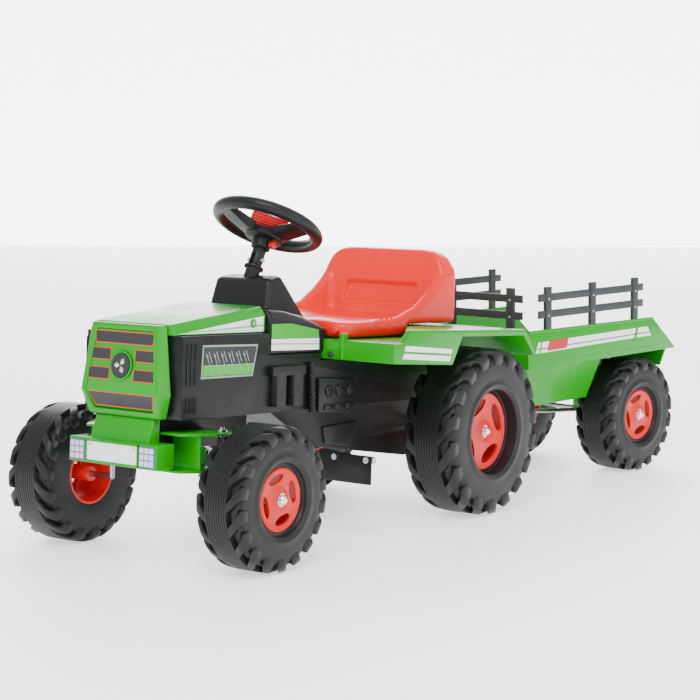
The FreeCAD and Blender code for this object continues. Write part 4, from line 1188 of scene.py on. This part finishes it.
# ------------------------------------------------------------------ middle of the tractor
@dataclass(frozen=True)
class EngineSide:
    """Black engine housing with vents, an engine window, filters, a relief and ribbed hoses."""

    vent_proud: float = 0.5
    pipes: int = 6
    coils: int = 11

    def vents(self, front: float, half: float, low: float) -> None:
        """Two groups of four upright slots near the nose, drawn as dark blocks whose colour is painted shade.

        Args:
            front: Front of the housing.
            half: y of its side.
            low: Height of its ridge.
        """
        slots, lips = Form(), Form()
        for step in range(4):
            x = front - 34 + step * 10
            for z0, z1 in ((low + 56, low + 120), (low + 12, low + 34)):
                slot = Form().block((x - 2.6, half - 1, z0), (x + 2.6, half + self.vent_proud, z1))
                slots.absorb(slot.soften(0.9))
                lip = Form().block((x + 2.8, half - 1, z0 - 2), (x + 4.6, half + 1.6, z1 + 2))
                lips.absorb(lip.soften(0.6))
        # The slot blocks carry painted shade in place of the hollow of each vent.
        slots.mirrored().on_tractor("vent_slots", Skin.PAINTED_SHADE_BLACK)
        lips.mirrored().on_tractor("vent_lips", Skin.BLACK)

    def window(self, front: float, half: float, low: float) -> None:
        """Dark panel over a green sump, with slanting pale pipes and a pale edge.

        Args:
            front: Front of the housing.
            half: y of its side.
            low: Height of its ridge.
        """
        x1, x0 = front - 48, front - 184
        z0, z1 = low + 67, low + 115
        for name, skin, proud, outline in (
                ("edge", Skin.LINE, 0.5, [(x1 + 3, z0 - 3), (x1, z1 + 3), (x0 - 3, z1 + 1), (x0 + 9, z0 - 3)]),
                ("back", Skin.BAR, 0.7, [(x1, z0), (x1 - 2, z1), (x0, z1 - 2), (x0 + 12, z0)]),
                ("sump", Skin.LIME, 0.85, [(x1 - 1, z0 + 1), (x1 - 1.5, z0 + 17), (x0 + 8, z0 + 17),
                                           (x0 + 13, z0 + 1)])):
            slab_on_side(outline, half, proud).on_tractor("window_" + name, skin)
        lines = Form()
        step = (x1 - x0 - 24) / self.pipes
        for i in range(self.pipes):
            x = x1 - 7 - i * step
            for start, top, end, foot, wide in ((x, 38, x - 16, 6, 1.3), (x - 7, 40, x - 15, 22, 1.6)):
                corners = ((start, top), (start - wide, top), (end - wide, foot), (end, foot))
                lines.absorb(Form().prism([(along, half, z0 + rise) for along, rise in corners], (0, 1.0, 0)))
            lines.absorb(Form().rod((x - 4, half, z0 + 33), (x - 4, half + 0.95, z0 + 33), 2.0, 18))
        lines.absorb(Form().block((x0 + 8, half, z0 + 17), (x1 - 2, half + 0.95, z0 + 18.2)))
        lines.mirrored().on_tractor("window_pipes", Skin.LINE)

    def filters(self, span: Span, half: float) -> None:
        """Two ribbed cans under their cap.

        Args:
            span: Extent of the cans.
            half: y of the housing's side.
        """
        ribs = Form()
        for x in (span.low.x + 19, span.low.x + 66):
            ribs.rod((x, half - 5, span.low.z), (x, half - 5, span.high.z - 14), 16.8, 40)
            for z in (span.low.z + 6, span.low.z + 24, span.low.z + 42):
                ribs.absorb(Form().rod((x, half - 6, z), (x, half - 6, z + 3.4), 18.2, 40))
        ribs.soften(0.8, 2, 40.0).mirrored().on_tractor("filter_ribs", Skin.BLACK)

    def hoses(self, span: Span) -> None:
        """A ribbed hose down each side.

        Args:
            span: Extent of the hoses.
        """
        x, y = span.middle.x, span.high.y - 7
        hose = Form().rod((x - 3, y, span.low.z + 1), (x + 3, y, span.high.z - 1), 5.4, 24)
        for step in range(self.coils):
            centre = (x - 2.6 + step * 0.5, y, span.low.z + 4 + step * 7.6)
            hose.absorb(Form().ball(centre, 7.0, (1.0, 1.0, 0.42)))
        hose.mirrored().on_tractor("ribbed_hoses", Skin.BLACK, ["coolant_hoses"])

    def castings(self, span: Span, half: float) -> None:
        """Knobs and fins on the relief, and the raised panel below it.

        Args:
            span: Extent of the relief.
            half: y of the housing's side.
        """
        shape = Form()
        z, foot = span.middle.z + 8, span.low.z + 8
        for step in range(3):
            x = span.low.x + 26 + step * 30
            shape.absorb(Form().rod((x, half + 4, z), (x, half + 9.5, z), 11.0, 32, 9.5)
                         .rod((x, half + 8, z), (x, half + 11.0, z), 4.0, 20))
            shape.absorb(Form().block((x - 12, half + 4, foot), (x + 12, half + 8.5, foot + 10)))
        shape.soften(1.1, 2, 40.0).mirrored().on_tractor("engine_castings", Skin.BLACK)
        corners = ((span.low.x - 14, 173), (span.high.x - 27, 168), (span.high.x - 34, 140),
                   (span.low.x + 6, 130))
        panel = Form().prism([(x, half - 7.5, z) for x, z in corners], (0.0, 4.0, 0.0))
        panel.soften(1.6, 3).mirrored().on_tractor("lower_panels", Skin.BLACK)

    def build(self) -> None:
        """Make the housing and everything moulded on its sides."""
        for side in ("left", "right"):
            tidy("engine_body_" + side, Skin.BLACK, 1.2, 2)
        tidy("oil_filters", Skin.BLACK, 1.6, 3)
        tidy("engine_reliefs", Skin.BLACK, 2.0, 3)
        body, cans = Span.of("engine_body_left"), Span.of("oil_filters")
        front, half, ridge = body.high.x, body.high.y, cans.low.z - 10
        self.vents(front, half, ridge)
        self.window(front, half, ridge)
        self.filters(cans, half)
        self.hoses(Span.of("coolant_hoses"))
        self.castings(Span.of("engine_reliefs"), half)


@dataclass(frozen=True)
class Console:
    """Black dash with a rounded hump and a two-tone decal on each side."""

    round_hump: float = 10.0
    voxel: float = 2.5
    smoothing: int = 5
    rise: float = 75.0

    def build(self) -> None:
        """Make the dash, the hump and the decals."""
        span = Span.of("dash_console")
        rear, front, low = span.low.x, span.high.x, span.low.z
        half, shoulder, top = span.high.y, low + self.rise, span.high.z
        corners = [(rear, half, low), (front, half, low), (rear, half, shoulder - 36)]
        for x, z in ((front, shoulder), (430, shoulder - 3), (380, shoulder - 12), (336, shoulder - 28)):
            corners += [(x, half - 12, z), (x, half, z - 20)]
        block = Form().hull(corners, both=True).soften(3.5, 3, 12.0)
        hump = Form().hull([(446, 66, shoulder - 20), (430, 58, top - 8), (392, 55, top - 1),
                            (rear + 8, 80, shoulder - 42), (rear + 30, 76, shoulder - 52),
                            (rear + 45, 68, shoulder - 10)], both=True)
        block.absorb(hump.soften(self.round_hump, 5, 12.0))
        melted(block, self.voxel, self.smoothing).on_tractor("dash_shape", Skin.BLACK, ["dash_console"], 40.0)
        tidy("column_bush", Skin.BLACK, 0.8, 2)
        decals = (("green", Skin.LIME, 0.5, [(474, 326), (474, 350), (421, 350), (346, 338), (344, 325)]),
                  ("white", Skin.WHITE, 0.5, [(474, 306), (474, 325), (344, 324), (343, 304)]),
                  ("line", Skin.LINE, 0.8, [(474, 316), (474, 318), (343, 315), (343, 313)]))
        for name, skin, proud, outline in decals:
            slab_on_side(outline, half, proud).on_tractor("dash_decal_" + name, skin)
        dress(Skin.ORANGE, "direction_knob")


@dataclass(frozen=True)
class SteeringWheel:
    """Ring, three spokes, a hub with a ribbed red pad, and the clamp sleeve below."""

    spokes: tuple[Pair, ...] = ((90.0, 1.0), (210.0, 0.55), (330.0, 1.0))
    ribs: int = 5
    tube: float = 11.5
    pad_turn: float = 45.0

    def space(self) -> tuple[Matrix, float]:
        """Wheel space in millimetres with +Z up the column, and the ring's radius.

        Returns:
            The matrix and the radius in millimetres.
        """
        up = joint_axis("steering_turn")
        if up.z < 0:
            up = -up
        low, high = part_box("steering_wheel")
        tube = self.tube / 1000
        across = (high.y - low.y) / 2 - tube
        level_up = LEAN.to_3x3().inverted() @ up
        centre = joint_place("steering_turn")
        lift = (high.z - tube - across * math.sin(math.acos(min(1.0, up.z))) - centre.z) / up.z
        centre = centre + up * lift
        centre.y = 0.0
        turn = LEAN.to_3x3().to_4x4() @ Matrix.Rotation(-math.atan2(-level_up.x, level_up.z), 4, "Y")
        return Matrix.Translation(centre) @ turn @ Matrix.Scale(0.001, 4), across * 1000

    def spoke(self, angle: float, share: float, radius: float) -> Form:
        """One spoke at an angle, its width a share of the widest.

        Args:
            angle: Its angle in degrees.
            share: Its width against the widest.
            radius: The ring's radius.

        Returns:
            The form in wheel space.
        """
        corners = []
        for r, wide, low, high in ((14.0, 19.0, -29.0, -10.0), (48.0, 15.0, -20.0, -7.0),
                                   (radius - 2, 17.0, -7.0, 4.0)):
            corners += [(r, wide * share, low), (r, (wide - 4) * share, high)]
        shape = Form().hull(corners, both=True).soften(3.0, 3, 20.0)
        return shape.place(Matrix.Rotation(math.radians(angle), 4, "Z"))

    def pad(self, span: Span) -> Form:
        """The stacked ribs of the pad, about a plain core.

        Args:
            span: Extent of the pad in its turned space.

        Returns:
            The form in that space.
        """
        form = Form()
        (x0, y0, z0), (x1, y1, z1) = span.low, span.high
        step = (z1 - z0) / self.ribs
        for i in range(self.ribs):
            z = z0 + i * step
            form.absorb(Form().block((x0, y0, z), (x1, y1, z + step - 0.6)).soften(min(2.4, step * 0.4), 3))
        return form.block((x0 + 2, y0 + 2, z0 + 1), (x1 - 2, y1 - 2, z1 - 1))

    def build(self) -> None:
        """Make every piece that turns with the column."""
        space, radius = self.space()
        turned = space @ Matrix.Rotation(math.radians(self.pad_turn), 4, "Z")
        pad = Span.of("steering_pad", turned)
        ring = Form().ring(radius, self.tube, 20, 96)
        for angle, share in self.spokes:
            ring.absorb(self.spoke(angle, share, radius))
        hub = Form().rod((0, 0, -46), (0, 0, -24), 17.0, 48)
        hub.rod((0, 0, -28), (0, 0, pad.low.z - 0.2), 33.0, 48, 34.0)
        ring.absorb(hub.soften(2.2, 3, 40.0))
        ring.place(space).finish("steering_ring", Skin.BLACK, "steering", ["steering_wheel"], 38.0)
        self.pad(pad).place(turned).finish("ribbed_pad", Skin.PAD, "steering", ["steering_pad"])
        tidy("steering_sleeve", Skin.BLACK, 1.0, 2, "steering")
        dress(Skin.STEEL, "steering_column", "sleeve_bolt_heads")
        tidy("horn_button", Skin.PAD, 1.2, 3, "horn")


# ------------------------------------------------------------------ seat and fenders
@dataclass(frozen=True)
class Seat:
    """Moulded red seat with a dished pan, side wings and a padded lumbar recess."""

    voxel: float = 3.0
    smoothing: int = 16
    pan_rise: float = 8.0
    shoulder_drop: float = 39.0

    def wing(self, sign: int, half: float, low: float, pan: float) -> Form:
        """One side wing, rising in short lengths from the pan to the back.

        Args:
            sign: 1 for the left, -1 for the right.
            half: Half the seat's width.
            low: Height of its underside.
            pan: Height of its pan.

        Returns:
            The form.
        """
        form = Form()
        stations = ((250, 2, 8), (200, 1, 8), (150, 9, 12), (96, 25, 15), (60, 46, 18), (34, 66, 20),
                    (12, 88, 22), (-26, 96, 24))
        for pair in zip(stations, stations[1:]):
            form.absorb(Form().hull([(x, sign * y, z) for x, rise, deep in pair for y, z in (
                (half, low), (half - deep - 8, low), (half, pan + rise - 5), (half - 5, pan + rise),
                (half - deep, pan + rise - 1))]))
        return form

    def solid(self, front: float, rear: float, half: float, low: float, top: float) -> Form:
        """The seat before it is dished: base, apron, wings, thigh rolls, flutes and back.

        Args:
            front: Its front.
            rear: Its rear.
            half: Half its width.
            low: Height of its underside.
            top: Height of its back.

        Returns:
            The form.
        """
        pan = low + self.pan_rise
        back_half = half - self.shoulder_drop
        form = Form().hull([
            (front, half - 34, low), (front, half - 34, pan - 1), (front - 12, half - 10, low),
            (front - 12, half - 12, pan - 1), (front - 40, half, low), (front - 40, half - 2, pan),
            (rear + 6, half, low), (rear + 8, half, pan + 4)], both=True)
        form.absorb(Form().hull([(x, y, z) for z in (low - 21, pan - 2) for x, y in (
            (front, half - 30), (front - 8, half - 8), (front - 24, half), (front - 186, half))], both=True))
        for sign in (1, -1):
            form.absorb(self.wing(sign, half, low, pan))
            form.absorb(Form().hull([(x, sign * y, z) for x, y, z in (
                (front - 3, 38, pan - 6), (front - 3, half - 36, pan - 6), (front - 12, 46, pan + 4),
                (front - 12, half - 42, pan + 4), (front - 60, 52, pan + 2),
                (front - 60, half - 46, pan + 2))]))
            for x in (front - 100, front - 134):
                foot, head = (x, sign * (half - 7), low - 20), (x, sign * (half - 9), pan + 4)
                form.absorb(Form().rod(foot, head, 10.0, 24))
        form.absorb(Form().hull([
            (30, half - 6, low + 6), (18, half - 1, pan + 70), (15, half - 4, pan + 92),
            (11, half - 14, top - 14), (9, back_half + 8, top - 3), (8, back_half - 14, top),
            (-22, back_half - 14, top), (-23, back_half + 8, top - 3), (-26, half - 14, top - 14),
            (rear + 4, half - 3, pan + 88), (rear + 3, half - 2, low + 6)], both=True))
        return form

    def build(self) -> None:
        """Make the seat from rounded forms melted together."""
        span = Span.of("seat")
        half, front, low, top = span.high.y, span.high.x, span.low.z, span.high.z
        pan = low + self.pan_rise
        seat = melted(self.solid(front, span.low.x, half, low, top), self.voxel, self.smoothing)
        hollow = Form().hull([
            (258, half - 26, pan + 60), (60, half - 34, pan + 80), (244, half - 40, pan - 4),
            (58, half - 48, pan - 1), (46, half - 44, pan + 30), (26, half - 40, pan + 100)], both=True)
        hollow.soften(12.0, 5, 15.0)
        low_edge, high_edge = pan + 26, pan + 62
        recess = Form().hull([(70, 84, low_edge), (60, 80, high_edge), (15, 84, low_edge), (9, 80, high_edge)],
                             both=True).soften(4.0, 3, 15.0)
        seat = melted(cut_away(seat, hollow), self.voxel, self.smoothing)
        seat = melted(cut_away(seat, recess), self.voxel, 4)
        seat.on_tractor("moulded_seat", Skin.SEAT, ["seat"], 60.0)
        trim = Form()
        for x in (176, 190, 204):
            trim.absorb(Form().rod((x, half - 3.6, low + 3), (x - 5, half - 5.5, pan + 3), 3.4, 20))
        trim.rod((front - 6, half - 22, low - 8), (front + 7, half - 22, low - 8), 5.5, 28)
        trim.mirrored().soften(1.0, 2, 40.0).on_tractor("seat_ribs_and_screws", Skin.SEAT)


@dataclass(frozen=True)
class Fenders:
    """One green moulding over both rear wheels with two white stripes on each side."""

    rounding: float = 4.0
    low: float = 288.0
    step: float = 322.0
    top: float = 344.0
    rib_inner: float = 137.0
    rib_wide: float = 9.0
    rib_top: float = 334.0

    def build(self) -> None:
        """Make the moulding, its ribs and its stripes."""
        span = Span.of("fender_unit")
        half, front, rear = span.high.y, span.high.x - 2, span.low.x
        outline = [(front, self.low), (front, self.step), (303, self.step), (281, self.top),
                   (-92, self.top - 7), (rear, 290), (rear + 6, 287), (-86, self.top - 18),
                   (121, self.top - 15), (150, 280)]
        shape = Form().prism([(x, -half, z) for x, z in outline], (0.0, 2 * half, 0.0))
        pockets = Form().hull([(x, y, z) for z in (self.step, self.top + 9) for x, y in (
            (front - 25, 120), (front - 25, half - 12), (283, half - 12), (126, 136), (126, 120))]).mirrored()
        shape = cut_away(shape, pockets).soften(self.rounding, 3, 12.0)
        shape.on_tractor("fender_shape", Skin.GREEN, ["fender_unit"], 35.0)
        rib = Form().block((front - 14, self.rib_inner, self.low),
                           (front + 2, self.rib_inner + self.rib_wide, self.rib_top))
        rib.soften(2.5, 3).mirrored().on_tractor("fender_ribs", Skin.GREEN)
        for name, outline in (("upper", [(297, 318), (153, 308), (156, 300), (300, 309)]),
                              ("lower", [(301, 305), (157, 296), (162, 287), (306, 296)])):
            slab_on_side(outline, half, 0.4).on_tractor("fender_stripe_" + name, Skin.WHITE)


# ------------------------------------------------------------------ trailer
@dataclass(frozen=True)
class Trailer:
    """Green bed with a rolled band, white stripes, grey fences and its running gear."""

    band_proud: float = 0.6
    post_pitch: float = 146.0

    def screws(self) -> None:
        """Two screws in each post of each fence."""
        form = Form()
        for name, along in (("fence_left", True), ("fence_right", True), ("fence_front", False)):
            fence = Span.of(name, STRAIGHT)
            middle = fence.middle
            for step in (-1, 0, 1):
                for z in (fence.low.z + 29, fence.low.z + 61.5):
                    if along:
                        side = 1 if middle.y > 0 else -1
                        spot = (middle.x + step * self.post_pitch, side * (abs(middle.y) + 3.5), z)
                    else:
                        spot = (middle.x + 3.5, middle.y + step * self.post_pitch, z)
                    form.ball(spot, 2.4, (1.0, 0.55, 1.0) if along else (0.55, 1.0, 1.0))
        form.on_trailer("fence_screws", Skin.STEEL)

    def build(self) -> None:
        """Make the bed, its trim and the fences."""
        tidy("trailer_tub", Skin.GREEN, 1.3, 3, "trailer")
        for side in ("left", "right", "front"):
            tidy("fence_" + side, Skin.FENCE, 1.2, 2, "trailer")
        span = Span.of("trailer_tub", STRAIGHT)
        half, proud, lip = span.high.y, self.band_proud, span.high.z
        slab_on_side([(-266, 292), (-258, 271), (-648, 280), (-634, 299)], half, proud).on_trailer(
            "bed_band", Skin.WHITE)
        slab_on_side([(-262, 280), (-261, 278), (-645, 286), (-643, 288)], half, proud + 0.2).on_trailer(
            "bed_band_line", Skin.BAR)
        slashes = Form()
        for x, wide in ((-276, 4), (-592, 9)):
            outline = [(x, 298), (x + 8, 270), (x + 8 - wide, 270), (x - wide, 298)]
            slashes.absorb(slab_on_side(outline, half, proud + 0.4))
        slashes.on_trailer("bed_slashes", Skin.GREEN)
        slab_on_side([(-300, 293), (-294, 274), (-356, 276), (-362, 295)], half, proud + 0.6).on_trailer(
            "bed_patch", Skin.PAD)
        roll = Form().rod((-238, half - 2.2, lip - 4.0), (-650, half - 2.2, lip - 2.5), 3.0, 20)
        roll.rod((-236, half - 2, 252.5), (-650, half - 2, 256.5), 2.4, 16)
        roll.mirrored().on_trailer("bed_rolled_edges", Skin.GREEN)
        self.screws()
        dress(Skin.STEEL, "trailer_axle", "drawbar")
        dress(Skin.BRIGHT, "trailer_axle_caps")
        dress(Skin.GREEN, "tub_mounts")


def small_parts() -> None:
    """Finish the parts whose CAD shape is already the whole look."""
    dress(Skin.STEEL, "rear_axle", "foot_bar", "hitch_pin", "hitch_bracket", "body_bolts", "knuckle_left",
          "knuckle_right", "tie_rod")
    dress(Skin.BRIGHT, "rear_axle_caps", "knuckle_left_fasteners", "knuckle_right_fasteners")
    dress(Skin.INNER, "battery", "drive_motor", "drive_gearbox")
    tidy("foot_plate_left", Skin.BLACK, 0.8, 2)
    tidy("accelerator_pedal", Skin.BLACK, 0.8, 2, "accelerator")
    tidy("front_axle_carrier", Skin.GREEN, 1.2, 2)


# ------------------------------------------------------------------ studio
@dataclass(frozen=True)
class Studio:
    """Pale floor and backdrop, soft lights and the camera."""

    eye: Triple = (3.0105, 2.1311, 0.6787)
    forward: Triple = (-0.802, -0.588, -0.106)
    roll: float = 0.176
    lens: float = 101.3
    floor_glow: float = 1.0
    backdrop_glow: float = 4.5
    backdrop_away: float = 9.0
    backdrop_half: float = 5.0

    def camera(self) -> None:
        """Set the scene's camera."""
        data = bpy.data.cameras.new("Camera")
        data.lens = self.lens
        data.sensor_width = 36.0
        data.clip_end = 200.0
        item = bpy.data.objects.new("Camera", data)
        bpy.context.scene.collection.objects.link(item)
        turn = Vector(self.forward).to_track_quat("-Z", "Y").to_matrix().to_4x4()
        turn = turn @ Matrix.Rotation(math.radians(self.roll), 4, "Z")
        item.matrix_world = Matrix.Translation(Vector(self.eye)) @ turn
        bpy.context.scene.camera = item

    def sheet(self, name: str, half: float, place: Matrix, glow: float) -> bpy.types.Node:
        """A square glowing sheet.

        Args:
            name: Its name and its material's.
            half: Half its side.
            place: Where it lies.
            glow: How bright it is of itself.

        Returns:
            The shader of its material.
        """
        material = bpy.data.materials.new(name)
        material.use_nodes = True
        shader = material.node_tree.nodes["Principled BSDF"]
        shader.inputs["Base Color"].default_value = (0.9, 0.9, 0.9, 1.0)
        shader.inputs["Emission Color"].default_value = (1.0, 1.0, 1.0, 1.0)
        shader.inputs["Emission Strength"].default_value = glow
        form = Form()
        bmesh.ops.create_grid(form.bm, x_segments=1, y_segments=1, size=half)
        item = form.place(place).spend(name)
        item.data.materials.append(material)
        return shader

    def floor(self) -> None:
        """A wide plain floor."""
        shader = self.sheet("Floor", 60.0, Matrix.Identity(4), self.floor_glow)
        shader.inputs["Roughness"].default_value = 0.55
        graph = Graph(shader.id_data)
        drift = graph.noise(graph.place(), 1.4, 2.0)
        tone = graph.mix(drift, (0.93, 0.94, 0.93, 1.0), (0.96, 0.965, 0.96, 1.0))
        graph.feed(shader.inputs["Base Color"], tone)

    def backdrop(self) -> None:
        """A bright upright sheet far behind the tractor."""
        away = Vector((self.forward[0], self.forward[1], 0.0)).normalized()
        turn = (-away).to_track_quat("Z", "Y").to_matrix().to_4x4()
        middle = away * self.backdrop_away + Vector((0, 0, self.backdrop_half - 0.1))
        self.sheet("Backdrop", self.backdrop_half, Matrix.Translation(middle) @ turn, self.backdrop_glow)

    def lamp(self, name: str, place: Triple, target: Triple, size: float, power: float) -> None:
        """A soft square light.

        Args:
            name: Its name.
            place: Where it hangs.
            target: What it points at.
            size: Length of its side.
            power: Watts.
        """
        data = bpy.data.lights.new(name, "AREA")
        data.size = size
        data.energy = power
        item = bpy.data.objects.new(name, data)
        item.location = place
        item.rotation_mode = "QUATERNION"
        item.rotation_quaternion = (Vector(target) - Vector(place)).to_track_quat("-Z", "Y")
        bpy.context.scene.collection.objects.link(item)

    def build(self) -> None:
        """Make the world, the floor, the lights and the camera."""
        world = bpy.data.worlds.new("Studio")
        bpy.context.scene.world = world
        world.use_nodes = True
        back = world.node_tree.nodes["Background"]
        back.inputs["Color"].default_value = (0.93, 0.96, 0.94, 1.0)
        back.inputs["Strength"].default_value = 1.15
        self.floor()
        self.backdrop()
        self.lamp("Key", (2.6, 1.4, 3.2), (0.1, 0.0, 0.2), 2.0, 120.0)
        self.lamp("Left fill", (0.0, 3.6, 1.6), (-0.1, 0.0, 0.2), 2.4, 45.0)
        self.lamp("Rear rim", (-2.6, -1.8, 2.6), (-0.1, 0.0, 0.2), 1.8, 40.0)
        self.camera()


# ------------------------------------------------------------------ the whole
SMALL_WHEEL = WheelSize(lip=59.0, bead=52.0, recess=11.0, slot_turn=14.0)
LARGE_WHEEL = WheelSize(lip=78.0, bead=72.0, recess=27.0, slot_turn=25.0, band_half=25.0, lug_depth=11.0,
                        slot_half=11.0, slot_reach=29.0, slot_centre=48.0, bore=6.05)


def main() -> None:
    """Build the looks, then the studio, logging each piece's face count."""
    logging.basicConfig(level=logging.INFO, format="%(message)s")
    for size, ends in ((SMALL_WHEEL, ("front", "trailer")), (LARGE_WHEEL, ("rear",))):
        for end in ends:
            for side in ("left", "right"):
                Wheel(f"{end}_{side}", f"{end}_{side}_wheel", size).build()
    for part in (Nose(), Hood(), Bumper(), EngineSide(), Console(), SteeringWheel(), Seat(), Fenders(),
                 Trailer()):
        part.build()
        LOG.info("%s done", type(part).__name__)
    small_parts()
    Studio().build()


if __name__ == "__main__":
    main()
